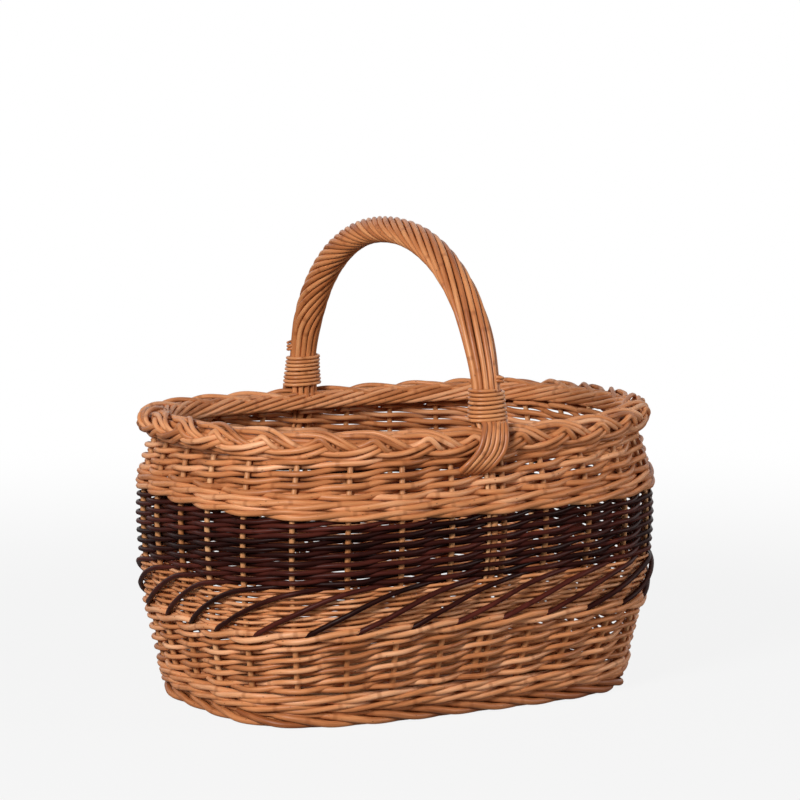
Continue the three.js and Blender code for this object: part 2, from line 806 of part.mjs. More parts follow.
function ropeRod(index) {
  const half = arch.total / 2 - ropeStart;
  const places = [];
  for (let i = 0; i < ropeBackSteps; i++) {
    places.push(ropeStart + (half * i) / ropeBackSteps);
  }
  for (let i = 0; i <= ropeFrontSteps; i++) {
    places.push(ropeStart + half + (half * i) / ropeFrontSteps);
  }
  const path = places.map((distance) => ropePoint(distance, index));
  const backLane = laneOffset(index);
  const frontLane = laneOffset(index + totalTwistSteps);
  const start = backLane.outside ? tail(backLane, false).toReversed() : [];
  const end = frontLane.outside ? tail(frontLane, true) : [];
  return evenRod([...start, ...path, ...end], ropeRodDiameter, ropeRodSides);
}

for (let i = 0; i < ropeRodCount; i++) {
  add(numbered('handle_rod', i), ropeRod(i), handleWillow());
}

// Bindings: each is one rod wound round the bow and its rods, and its ends run straight

function bindingPath(front) {
  const room = ropeRodRadius + fitGap + bindingRodDiameter / 2 + bindingSlack;
  const laneHalfWidth = ((outerLanes - 1) / 2) * laneSpacing;
  const laneHalfDepth = bowBoundDiameter / 2 + fitGap + ropeRodRadius;
  const hoopAt = (height) => {
    const gathered = THREE.MathUtils.smoothstep(height, bindingBottom, bindingTop);
    return outline(
      THREE.MathUtils.lerp(laneHalfWidth, ropeHalfWidth * neckWidthShare, gathered) + room,
      THREE.MathUtils.lerp(laneHalfDepth, ropeHalfDepth * neckDepthShare, gathered) + room,
      THREE.MathUtils.lerp(bindingFootRoundness, bindingNeckRoundness, gathered),
    );
  };
  const facing = front ? -1 : 1;
  const path = [];
  for (let i = 0; i <= bindingLoops * loopSteps; i++) {
    const turn = i / loopSteps;
    const height = bindingBottom + bindingRodDiameter / 2 + turn * bindingPitch;
    const { point } = outlinePlace(hoopAt(height), turn);
    const middle = archPlace(archDistance(height)).point;
    path.push(new THREE.Vector3(handleX - facing * point.x, facing * (middle.y - point.y), height));
  }
  const runOut = (from, to) => to.clone().add(to.clone().sub(from).setLength(bindingRodDiameter));
  return [runOut(path[1], path[0]), ...path, runOut(path.at(-2), path.at(-1))];
}

// Least gap between turns, measured between points that lie more than a quarter loop apart
function leastGap(path, diameter) {
  let least = Infinity;
  for (let i = 0; i < path.length; i++) {
    for (let j = i + loopSteps / 4; j < path.length; j++) {
      least = Math.min(least, path[i].distanceTo(path[j]) - diameter);
    }
  }
  return least;
}

for (const [name, front] of [['front_binding', true], ['back_binding', false]]) {
  const path = bindingPath(front);
  console.log(`${name}: least gap between its turns ${leastGap(path, bindingRodDiameter).toFixed(2)} mm`);
  add(name, evenRod(path, bindingRodDiameter, loopSides), handleWillow());
}

export default basket;
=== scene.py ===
"""Wicker shopping basket, woven rod by rod round the fixed frame of its solids.

Shapes are worked out in millimetres and made in metres. +X runs along the basket, +Y from its front to its
back, and +Z up. A share is a part of the way round an outline, from the front middle, anticlockwise seen
from above.
"""

import logging
import math
from dataclasses import dataclass, field
from enum import Enum
from typing import Any, Iterator, Optional, Sequence, Union

import bpy
import numpy as np
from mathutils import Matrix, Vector


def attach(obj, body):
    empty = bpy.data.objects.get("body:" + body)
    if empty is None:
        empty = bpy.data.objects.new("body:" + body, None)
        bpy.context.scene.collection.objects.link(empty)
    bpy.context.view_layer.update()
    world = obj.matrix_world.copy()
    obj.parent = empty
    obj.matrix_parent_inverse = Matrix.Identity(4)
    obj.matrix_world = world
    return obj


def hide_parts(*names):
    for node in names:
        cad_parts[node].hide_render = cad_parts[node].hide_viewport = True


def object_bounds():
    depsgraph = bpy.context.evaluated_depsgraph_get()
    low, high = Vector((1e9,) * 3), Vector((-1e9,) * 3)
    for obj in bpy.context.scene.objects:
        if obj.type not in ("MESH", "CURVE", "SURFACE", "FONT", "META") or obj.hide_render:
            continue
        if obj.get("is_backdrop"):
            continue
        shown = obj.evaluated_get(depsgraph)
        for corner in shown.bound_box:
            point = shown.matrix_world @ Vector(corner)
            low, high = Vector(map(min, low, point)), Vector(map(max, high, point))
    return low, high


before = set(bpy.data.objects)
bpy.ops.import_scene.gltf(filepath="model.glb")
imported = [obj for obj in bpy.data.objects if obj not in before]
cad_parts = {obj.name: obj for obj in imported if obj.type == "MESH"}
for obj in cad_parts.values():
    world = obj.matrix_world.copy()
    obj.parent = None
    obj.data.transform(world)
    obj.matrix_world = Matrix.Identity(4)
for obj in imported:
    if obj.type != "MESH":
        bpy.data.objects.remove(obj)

LOG = logging.getLogger("basket")
Array = np.ndarray
Colour = tuple[float, float, float]

MM = 0.001
BODY = "root"
STAKES = 28
UP = (0.0, 0.0, 1.0)
ALONG = (1.0, 0.0, 0.0)
WHITE = (1.0, 1.0, 1.0, 1.0)

# How finely outlines and the arch are measured, and how many random values wobble draws beyond a rod's length
SAMPLES = 720
SPARE_KNOTS = 4


def mix(first: Any, second: Any, part: Any) -> Any:
    """Go a part of the way from one value to another."""
    return first * (1 - part) + second * part


def unit(rows: Array) -> Array:
    """Scale each row to a length of 1."""
    return rows / np.linalg.norm(rows, axis=1)[:, None]


def travelled(path: Array) -> Array:
    """Find how far along a path each of its rows lies."""
    return np.concatenate([[0.0], np.cumsum(np.linalg.norm(np.diff(path, axis=0), axis=1))])


def read_rows(at: Array, places: Array, rows: Array) -> Array:
    """Read rows of values between the places where they are known."""
    return np.column_stack([np.interp(at, places, column) for column in rows.T])


def smoothstep(value: Array, low: float, high: float) -> Array:
    """Rise smoothly from 0 to 1 between two values."""
    part = np.clip((np.asarray(value, float) - low) / (high - low), 0.0, 1.0)
    return part * part * (3.0 - 2.0 * part)


def smooth_curve(knots: Sequence[Sequence[float]], at: Array) -> Array:
    """Read a smooth curve that runs through knots.

    Args:
        knots: Rows of a place along the curve and the values there.
        at: Places at which to read the curve.

    Returns:
        One row of values for each place.
    """
    rows = np.asarray(knots, float)
    places, values = rows[:, 0], rows[:, 1:]
    slopes = np.gradient(values, places, axis=0)
    at = np.clip(np.asarray(at, float), places[0], places[-1])
    low = np.clip(np.searchsorted(places, at, side="right") - 1, 0, len(places) - 2)
    span = (places[low + 1] - places[low])[:, None]
    part = (at - places[low])[:, None] / span
    square, cube = part**2, part**3
    return (
        (2 * cube - 3 * square + 1) * values[low]
        + (cube - 2 * square + part) * span * slopes[low]
        + (3 * square - 2 * cube) * values[low + 1]
        + (cube - square) * span * slopes[low + 1]
    )


def wobble(rng: np.random.Generator, at: Array, amount: float, step: float = 1.0) -> Array:
    """Make the small unevenness of hand work.

    Args:
        rng: Source of chance.
        at: Places along a rod, in stake spaces or millimetres.
        amount: Largest size of the unevenness.
        step: Distance between its random values.

    Returns:
        A smooth random value for each place.
    """
    count = int((at[-1] - at[0]) / step) + SPARE_KNOTS
    places = at[0] - step + np.arange(count) * step
    return smooth_curve(np.column_stack([places, rng.uniform(-amount, amount, count)]), at)[:, 0]


# Outlines and the wall


@dataclass(frozen=True)
class Outline:
    """Rounded rectangle, by its half length, half width and the power of its corners."""

    half_length: float
    half_width: float
    roundness: float

    @property
    def half(self) -> Array:
        """Half length and half width together."""
        return np.array([self.half_length, self.half_width])

    def table(self, shares: Array) -> Array:
        """Find places and outward directions.

        Args:
            shares: Parts of the way round, rising from 0 to 1.

        Returns:
            Columns of x, y and the two parts of the outward direction.
        """
        angle = -math.pi / 2 + 2 * math.pi * np.arange(SAMPLES + 1) / SAMPLES
        ray, power = np.column_stack([np.cos(angle), np.sin(angle)]), self.roundness
        ring = ray * (abs(ray / self.half) ** power).sum(axis=1, keepdims=True) ** (-1 / power)
        lengths = travelled(ring)
        place = read_rows(shares * lengths[-1], lengths, ring)
        outward = np.sign(place) * abs(place / self.half) ** (power - 1) / self.half
        return np.column_stack([place, unit(outward)])


class RingTable:
    """Places round outlines that are stacked at even heights, the lowest on the ground."""

    SHARE_STEPS = 1680
    TOP_GAP = 1e-6

    def __init__(self, outlines: Sequence[Outline], step: float = 1.0) -> None:
        """Measure the outlines.

        Args:
            outlines: Outlines from the lowest to the highest.
            step: Height between two of them.
        """
        shares = np.linspace(0.0, 1.0, self.SHARE_STEPS + 1)
        self.rows = np.stack([outline.table(shares) for outline in outlines])
        self.step = step

    def at(self, share: Array, out: Array, height: Array = 0.0, along: Array = 0.0) -> Array:
        """Find places round the stack.

        Args:
            share: Parts of the way round.
            out: Steps outwards.
            height: Heights of the places.
            along: Steps aside, anticlockwise.

        Returns:
            One row of x and y for each place.
        """
        values = (np.asarray(value, float) for value in (share, out, height, along))
        share, out, height, along = np.broadcast_arrays(*values)
        top = len(self.rows) - 1
        level = np.clip(height / self.step, 0, max(top - self.TOP_GAP, 0))
        row = np.floor(level).astype(int)
        above = np.minimum(row + 1, top)
        turn = (share - np.floor(share)) * self.SHARE_STEPS
        column = np.minimum(np.floor(turn).astype(int), self.SHARE_STEPS - 1)
        on = (turn - column)[:, None]
        low, high = (mix(self.rows[line, column], self.rows[line, column + 1], on) for line in (row, above))
        spot = mix(low, high, (level - row)[:, None])
        outward = unit(spot[:, 2:])
        aside = outward[:, ::-1] * np.array([-1.0, 1.0])
        return spot[:, :2] + outward * out[:, None] + aside * along[:, None]


@dataclass
class Wall:
    """Surface on which the stakes stand: it flares from the foot to a shoulder and draws in to the mouth."""

    start_height: float = 8.0
    start: Outline = Outline(190.3, 122.7, 3.6)
    shoulder_height: float = 165.0
    shoulder: Outline = Outline(209.5, 169.0, 3.1)
    mouth_height: float = 226.0
    mouth: Outline = Outline(201.0, 161.0, 2.8)
    flare_curve: float = 1.6
    draw_curve: float = 2.0
    waist_sag: float = -8.0
    rim_sag: float = 6.0
    sag_heights: tuple[float, float, float] = (13.3, 75.0, 128.0)
    table_step: float = 2.0
    table: RingTable = field(init=False)

    def __post_init__(self) -> None:
        """Measure the outlines from the ground to the mouth."""
        heights = np.arange(0.0, self.mouth_height + self.table_step, self.table_step)
        self.table = RingTable([self.outline(height) for height in heights], self.table_step)

    def outline(self, height: float) -> Outline:
        """Find the outline of the stakes at a height.

        Args:
            height: Height above the ground.

        Returns:
            The outline there.
        """
        low, mid, top, bend = self.start, self.shoulder, self.mouth, self.shoulder_height
        below = np.clip((bend - height) / (bend - self.start_height), 0, 1)
        above = np.clip((height - bend) / (self.mouth_height - bend), 0, 1)
        flare, draw = below**self.flare_curve, above**self.draw_curve
        half = mid.half - (mid.half - low.half) * flare - (mid.half - top.half) * draw
        rounder = (mid.roundness - low.roundness) * (1 - below) + (top.roundness - mid.roundness) * above
        return Outline(half[0], half[1], low.roundness + rounder)

    def lift(self, height: Array, x: Array, y: Array) -> Array:
        """Find how far the rows lie above or below their level.

        Args:
            height: Level of the row.
            x: Place along the basket.
            y: Place across it.

        Returns:
            The rise at each place.
        """
        heights = [*self.sag_heights, self.mouth_height]
        sag = np.interp(height, heights, [0.0, self.waist_sag, 0.0, self.rim_sag])
        return sag * ((x / self.shoulder.half_length) ** 2 - (y / self.shoulder.half_width) ** 2) / 2

    def place(self, height: Array, share: Array, along: Array = 0.0, out: Array = 0.0) -> Array:
        """Find places on the wall.

        Args:
            height: Level of each place.
            share: Part of the way round.
            along: Step aside, anticlockwise.
            out: Step outwards.

        Returns:
            One row of x, y and z for each place.
        """
        x, y = self.table.at(share, out, height, along).T
        return np.column_stack([x, y, height + self.lift(height, x, y)])


# Rods and their meshes


class Bundle:
    """Rods that are made as one piece."""

    # A rod's rounded end, as shares of its radius, and how far the rods' starts are spread in the grain
    END_LENGTH = 0.4
    END_WIDTH = 0.62
    GRAIN_SPREAD = 1370.0

    def __init__(self, name: str, sides: int, seed: int) -> None:
        """Start an empty bundle.

        Args:
            name: Name of the piece.
            sides: Even number of sides of each rod.
            seed: Seed of its chance.
        """
        self.name = name
        self.sides = sides
        self.rng = np.random.default_rng(seed)
        self.corners: list[Array] = []
        self.faces: list[Array] = []
        self.grain: list[Array] = []
        self.tones: list[Array] = []
        self.count = 0

    def add(self, path: Array, radius: Union[float, Array], reference: Sequence[float] = UP,
            tone: Optional[float] = None) -> None:
        """Add a round rod along a path.

        Args:
            path: Rows of x, y and z in millimetres.
            radius: Radius of the rod, or its radius at each row.
            reference: A direction that the path never follows.
            tone: How pale the rod is, from 0 to 1, or nothing for chance.
        """
        both_ends = ((1, 1), (0, 0))
        radius = np.pad(np.broadcast_to(np.asarray(radius, float), len(path)), 1, "edge")
        ahead = np.pad(unit(np.gradient(path, axis=0)), both_ends, "edge")
        path = np.pad(path, both_ends, "edge")
        for end, way in ((0, -1), (-1, 1)):
            path[end] += way * ahead[end] * radius[end] * self.END_LENGTH
            radius[end] *= self.END_WIDTH
        side = unit(np.cross(ahead, np.asarray(reference, float)))
        rise = np.cross(side, ahead)
        angle = 2 * math.pi * np.arange(self.sides) / self.sides
        circle = radius[:, None, None] * np.column_stack([np.cos(angle), np.sin(angle)])
        corners = path[:, None] + circle[..., :1] * side[:, None] + circle[..., 1:] * rise[:, None]
        run = travelled(path) + self.GRAIN_SPREAD * self.rng.random()
        run = np.broadcast_to(run[:, None, None], (len(path), self.sides, 1))
        self.corners.append(corners.reshape(-1, 3))
        self.grain.append(np.concatenate([run, circle], axis=2).reshape(-1, 3))
        chance = self.rng.random() if tone is None else tone
        self.tones.append(np.full(len(path) * self.sides, chance))
        self.add_faces(len(path))

    def add_faces(self, rings: int) -> None:
        """Add the faces of a rod: its skin and its two ends.

        Args:
            rings: Number of the rod's rings of corners.
        """
        row = np.arange(rings - 1)[:, None] * self.sides
        number = np.arange(self.sides)
        after = (number + 1) % self.sides
        skin = np.stack([row + number, row + self.sides + number, row + self.sides + after, row + after], -1)
        fan = np.array([[0, i, i + 1, i + 2] for i in range(1, self.sides - 2, 2)])
        end = (rings - 1) * self.sides
        self.faces.append(np.vstack([skin.reshape(-1, 4), fan, fan[:, ::-1] + end]) + self.count)
        self.count += rings * self.sides

    def build(self, finish: "Willow", *nodes: str, slot: str = "") -> None:
        """Make the piece, dress it and let it ride on the basket.

        Args:
            finish: Finish of the rods.
            nodes: Solids that the piece stands for.
            slot: Material slot of the record, where it isn't the finish's own.
        """
        mesh = bpy.data.meshes.new(self.name)
        mesh.from_pydata(np.vstack(self.corners) * MM, [], np.vstack(self.faces))
        mesh.polygons.foreach_set("use_smooth", np.ones(len(mesh.polygons), bool))
        grain = mesh.attributes.new("rod_grain", "FLOAT_VECTOR", "POINT")
        grain.data.foreach_set("vector", (np.vstack(self.grain) * MM).astype(np.float32).ravel())
        tone = mesh.attributes.new("rod_tone", "FLOAT", "POINT")
        tone.data.foreach_set("value", np.concatenate(self.tones).astype(np.float32))
        mesh.update()
        piece = bpy.data.objects.new(self.name, mesh)
        bpy.context.scene.collection.objects.link(piece)
        settle(piece, finish, slot or finish.slot, nodes)


def settle(piece: bpy.types.Object, finish: "Willow", slot: str, nodes: Sequence[str]) -> None:
    """Dress a piece and let it ride on the basket.

    Args:
        piece: The finished object.
        finish: Its finish.
        slot: Material slot of the record; not used.
        nodes: Solids that the piece stands for.
    """
    piece.data.materials.clear()
    piece.data.materials.append(finish.material())
    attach(piece, BODY)
    if nodes:
        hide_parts(*nodes)
    LOG.info("%s: %d faces", piece.name, len(piece.data.polygons))


# Shader maths and finishes


class Socket:
    """Output of a shader node, with sums written as Python expressions."""

    def __init__(self, graph: "Graph", socket: Optional[bpy.types.NodeSocket]) -> None:
        """Wrap an output of a node in a graph."""
        self.graph = graph
        self.socket = socket

    def other(self, name: str) -> "Socket":
        """Give another output of the same node."""
        return Socket(self.graph, self.socket.node.outputs[name])

    def _math(self, operation: str, first: Any, second: Any) -> "Socket":
        """Add a Math node."""
        return self.graph.node("Math", {0: first, 1: second}, operation=operation)

    def __add__(self, value: Any) -> "Socket":
        """Add a value."""
        return self._math("ADD", self, value)

    __radd__ = __add__

    def __sub__(self, value: Any) -> "Socket":
        """Take a value away."""
        return self._math("SUBTRACT", self, value)

    def __rsub__(self, value: Any) -> "Socket":
        """Take this away from a value."""
        return self._math("SUBTRACT", value, self)

    def __mul__(self, value: Any) -> "Socket":
        """Multiply by a value."""
        return self._math("MULTIPLY", self, value)

    def between(self, low: float, high: float) -> "Socket":
        """Rise smoothly from 0 to 1 between two values."""
        limits = {"Value": self, "From Min": low, "From Max": high}
        return self.graph.node("MapRange", limits, interpolation_type="SMOOTHSTEP")


class Graph:
    """Nodes of one material or world."""

    def __init__(self, tree: bpy.types.NodeTree) -> None:
        """Take over a node tree, which is emptied."""
        self.tree = tree
        tree.nodes.clear()

    def node(self, kind: str, inputs: Optional[dict[Union[int, str], Any]] = None,
             output: Union[int, str] = 0, **settings: Any) -> Socket:
        """Add a node.

        Args:
            kind: Type of the node, without the words ShaderNode before it.
            inputs: Values or links of its inputs, by name or number.
            output: Output that is given back.
            settings: Its other settings.

        Returns:
            The chosen output, or an empty one if the node has none.
        """
        made = self.tree.nodes.new(f"ShaderNode{kind}")
        for name, value in settings.items():
            setattr(made, name, value)
        for name, value in (inputs or {}).items():
            if isinstance(value, Socket):
                self.tree.links.new(value.socket, made.inputs[name])
            else:
                made.inputs[name].default_value = value
        return Socket(self, made.outputs[output] if made.outputs else None)

    def blend(self, factor: Any, first: Socket, second: Colour) -> Socket:
        """Mix a plain colour into another."""
        return self.node("Mix", {0: factor, 6: first, 7: (*second, 1.0)}, 2, data_type="RGBA")

    def ramp(self, factor: Socket, stops: Sequence[float], colours: Sequence[Colour]) -> Socket:
        """Turn a value into a colour.

        Args:
            factor: The value.
            stops: Values at which each colour is full.
            colours: The colours.

        Returns:
            The colour.
        """
        colour = self.node("ValToRGB", {"Fac": factor}, "Color")
        elements = colour.socket.node.color_ramp.elements
        while len(elements) < len(stops):
            elements.new(0.5)
        for element, stop, shade in zip(elements, stops, colours):
            element.position = stop
            element.color = (*shade, 1.0)
        return colour

    def pattern(self, kind: str, vector: Socket, scale: Sequence[float], place: Sequence[float] = (0, 0, 0),
                output: Union[int, str] = 0, **inputs: float) -> Socket:
        """Add a texture.

        Args:
            kind: Type of its node.
            vector: Coordinates, in metres.
            scale: How many times it repeats in a metre, in each direction.
            place: Step from the start of the pattern.
            output: Output that is given back.
            inputs: Other inputs of the node.

        Returns:
            The chosen output.
        """
        values = {0: vector, 1: tuple(scale), 2: tuple(place)}
        scaled = self.node("VectorMath", values, operation="MULTIPLY_ADD")
        return self.node(kind, {"Vector": scaled, "Scale": 1.0, **inputs}, output)


class GrainSource(Enum):
    """Where a finish reads the run of the wood."""

    ROD = "rod"
    STICK_ALONG_X = "x"
    STICK_ALONG_Y = "y"


@dataclass(frozen=True)
class Finish:
    """A finish that makes its material once."""

    name: str

    def material(self) -> bpy.types.Material:
        """Find the material, or make it at its first use.

        Returns:
            The material.
        """
        found = bpy.data.materials.get(self.name)
        if found is None:
            found = bpy.data.materials.new(self.name)
            found.use_nodes = True
            self.paint(Graph(found.node_tree))
        return found

    def paint(self, graph: Graph) -> None:
        """Add the nodes to an empty graph."""
        raise NotImplementedError


@dataclass(frozen=True)
class Willow(Finish):
    """Willow rods: streaks along the grain, slow changes of tone, specks and leaf scars."""

    slot: str
    shade: Colour
    middle: Colour
    pale: Colour
    speck: Colour
    roughness: float = 0.44
    coat: float = 0.1
    gloss: float = 0.28
    specks: float = 1.0
    tone_share: float = 0.55
    source: GrainSource = GrainSource.ROD

    # Streaks and slow changes: how fine they are in a metre, along the grain and across it, and how strong
    STREAK_SCALE = (70, 1100, 1100)
    STREAK_SHARE = 0.55
    DRIFT_SCALE = (22, 90, 90)
    DRIFT_PLACE = (3, 1, 7)
    DRIFT_SHARE = 0.7
    STOPS = (0.12, 0.5, 0.9)

    # Specks and scars: how fine they are, where their edges fade, which specks show, and how strong they are
    SPECK_SCALE = (190, 330, 330)
    SPECK_EDGE = (0.10, 0.22)
    SPECK_CHANCE = (0.80, 0.86)
    SPECK_SHARE = 0.75
    SCARS_IN_METRE = 17.0
    SCAR_EDGE = (0.012, 0.05)
    SCAR_SHARE = 0.45

    # Relief of streaks, scars and specks, and how they change the roughness
    STREAK_HEIGHT = 0.6
    SCAR_HEIGHT = 0.9
    SPECK_HEIGHT = 0.5
    RELIEF = {"Strength": 0.35, "Distance": 0.0005}
    STREAK_ROUGHNESS = 0.35
    SPECK_ROUGHNESS = 0.2
    COAT_ROUGHNESS = 0.3

    def coordinates(self, graph: Graph) -> tuple[Socket, Any]:
        """Give the wood's own coordinates and its tone.

        Args:
            graph: Graph of the material.

        Returns:
            Coordinates with the grain along their first part, and how pale the rod is.
        """
        if self.source is GrainSource.ROD:
            return (graph.node("Attribute", output="Vector", attribute_name="rod_grain"),
                    graph.node("Attribute", output="Fac", attribute_name="rod_tone"))
        turn = (0.0, 0.0, math.pi / 2 if self.source is GrainSource.STICK_ALONG_Y else 0.0)
        place = graph.node("TexCoord", output="Object")
        return graph.node("Mapping", {"Vector": place, "Rotation": turn}), 0.5

    def paint(self, graph: Graph) -> None:
        """Add the nodes of the willow.

        Args:
            graph: Empty graph of the material.
        """
        grain, tone = self.coordinates(graph)
        streak = graph.pattern("TexNoise", grain, self.STREAK_SCALE, Detail=3.0, Roughness=0.6)
        drift = graph.pattern("TexNoise", grain, self.DRIFT_SCALE, self.DRIFT_PLACE, Detail=2.0)
        level = tone * self.tone_share + (streak - 0.5) * self.STREAK_SHARE
        level = level + (drift - 0.5) * self.DRIFT_SHARE + (0.5 - self.tone_share / 2)
        colour = graph.ramp(level, self.STOPS, (self.shade, self.middle, self.pale))
        dots = graph.pattern("TexVoronoi", grain, self.SPECK_SCALE, output="Distance")
        chance = graph.node("SeparateColor", {"Color": dots.other("Color")}, "Red")
        shown = chance.between(*self.SPECK_CHANCE)
        speckle = (1.0 - dots.between(*self.SPECK_EDGE)) * shown * (self.SPECK_SHARE * self.specks)
        colour = graph.blend(speckle, colour, self.speck)
        run = graph.node("SeparateXYZ", {"Vector": grain}, "X") * self.SCARS_IN_METRE
        scars = graph.node("TexVoronoi", {"W": run, "Scale": 1.0}, "Distance", voronoi_dimensions="1D")
        scar = (1.0 - scars.between(*self.SCAR_EDGE)) * self.SCAR_SHARE * self.specks
        colour = graph.blend(scar, colour, self.shade)
        height = streak * self.STREAK_HEIGHT + scar * self.SCAR_HEIGHT - speckle * self.SPECK_HEIGHT
        bump = graph.node("Bump", {"Height": height, **self.RELIEF}, "Normal")
        rough = (streak - 0.5) * self.STREAK_ROUGHNESS + (speckle * self.SPECK_ROUGHNESS + self.roughness)
        shader = graph.node("BsdfPrincipled", {
            "Base Color": colour, "Roughness": rough, "Normal": bump, "Coat Weight": self.coat,
            "Coat Roughness": self.COAT_ROUGHNESS, "Specular IOR Level": self.gloss})
        graph.node("OutputMaterial", {"Surface": shader})


BUFF = Willow("buff_willow_rods", "buff_willow", (0.27, 0.076, 0.021), (0.60, 0.232, 0.086),
              (0.90, 0.48, 0.26), (0.11, 0.035, 0.012), gloss=0.22, coat=0.06, tone_share=0.36)
STAKE = Willow("stake_willow_rods", "stake_willow", (0.38, 0.14, 0.046), (0.60, 0.275, 0.115),
               (0.78, 0.44, 0.22), (0.18, 0.065, 0.024), gloss=0.22, coat=0.06, specks=0.7)
HANDLE = Willow("handle_willow_rods", "handle_willow", (0.27, 0.072, 0.019), (0.50, 0.174, 0.056),
                (0.76, 0.35, 0.145), (0.12, 0.038, 0.015), roughness=0.38, coat=0.12, gloss=0.25,
                tone_share=0.4)
DARK = Willow("dark_willow_rods", "dark_willow", (0.009, 0.0016, 0.0011), (0.029, 0.0052, 0.0034),
              (0.095, 0.019, 0.012), (0.006, 0.002, 0.0015), roughness=0.36, coat=0.0, gloss=0.07, specks=0.6)
BASE = Willow("base_willow_rods", "base_willow", (0.30, 0.12, 0.045), (0.48, 0.22, 0.09), (0.62, 0.33, 0.15),
              (0.11, 0.045, 0.02), roughness=0.5, coat=0.08)
LONG_STICK, CROSS_STICK = (
    Willow(name, STAKE.slot, BASE.shade, STAKE.middle, STAKE.pale, STAKE.speck, roughness=0.5, source=source)
    for name, source in (("long_stick_willow", GrainSource.STICK_ALONG_X),
                         ("cross_stick_willow", GrainSource.STICK_ALONG_Y)))


# Wall weaving


@dataclass(kw_only=True)
class Band:
    """Band of weaving, made rod by rod."""

    node: str
    wall: Wall
    diameter: float
    stand: float
    seed: int
    finish: Willow = BUFF
    unevenness: float = 0.45
    steps: int = 12
    sides: int = 8

    # How much further rods stand off where the bow lies beside a middle stake, and over how many stake spaces
    BOW_ROOM = 1.1
    BOW_REACH = 0.42

    def round_bow(self, share: Array, out: Array, limit: float = math.inf) -> Array:
        """Lead rods round the handle's bow at the two middle stakes, half the way round from each other.

        Args:
            share: Parts of the way round.
            out: Steps out from the line of the stakes.
            limit: How much of the room a rod takes at most.

        Returns:
            The new steps out.
        """
        beside = abs((share + 0.25) % 0.5 - 0.25) * STAKES
        room = self.BOW_ROOM * np.exp(-((beside / self.BOW_REACH) ** 2))
        return out + np.sign(out) * room * np.minimum(abs(out) / self.stand, limit)

    def rods(self, rng: np.random.Generator) -> Iterator[tuple[Array, Array, Array, Array]]:
        """Give each rod's shares, heights, steps out and radii, one rod after another."""
        raise NotImplementedError

    def build(self) -> None:
        """Weave the band."""
        bundle = Bundle(f"{self.node}_rods", self.sides, self.seed)
        for share, height, out, radius in self.rods(bundle.rng):
            bundle.add(self.wall.place(height, share, out=out), radius)
        bundle.build(self.finish, self.node)


@dataclass(kw_only=True)
class Randing(Band):
    """French randing: rods pass in front of one stake and behind the next, and climb as they go behind."""

    bottom: float
    pitch: float
    passes: int
    stiffness: float = 0.93
    surge: float = 0.055

    # Where a rod starts and how far it runs past its last stake, and how far below the next level it ends
    START = -0.3
    TAIL = 0.28
    LAST_DROP = 0.55

    # Unevenness outwards, and how thick a rod is at its butt, how much it thins and how much rods differ
    SWAY = 0.25
    BUTT, THINNING, SPREAD = 1.07, 0.14, 0.07

    def height(self, at: Array) -> Array:
        """Find a rod's height.

        Args:
            at: Stake spaces from the rod's start, which lies behind its first stake.

        Returns:
            Heights of its middle line.
        """
        step = at - 1
        level = np.where(at < 1, 0.0, step / 2 - self.surge * np.sin(2 * math.pi * step))
        return self.bottom + self.pitch * np.minimum(level, self.passes - self.LAST_DROP)

    def out(self, at: Array) -> Array:
        """Find how far a rod stands out from the line of the stakes.

        Args:
            at: Stake spaces from the rod's start.

        Returns:
            Steps out.
        """
        inside = (at < 0) | (at > 2 * self.passes)
        swing = -np.arcsin(self.stiffness * np.cos(math.pi * at)) / math.asin(self.stiffness)
        return np.where(inside, -1.0, swing) * self.stand

    def rods(self, rng: np.random.Generator) -> Iterator[tuple[Array, Array, Array, Array]]:
        """Lay a rod from every stake.

        Args:
            rng: Source of chance.

        Returns:
            Each rod's shares, heights, steps out and radii.
        """
        end = 2 * self.passes + self.TAIL
        at = np.arange(self.START, end, 1 / self.steps)
        thinned = self.diameter / 2 * (self.BUTT - self.THINNING * (at - at[0]) / end)
        for first in range(STAKES):
            share = (first + at) / STAKES
            out = self.round_bow(share, self.out(at)) + wobble(rng, at, self.SWAY)
            height = self.height(at) + wobble(rng, at, self.unevenness)
            yield share, height, out, thinned * rng.uniform(1 - self.SPREAD, 1 + self.SPREAD)


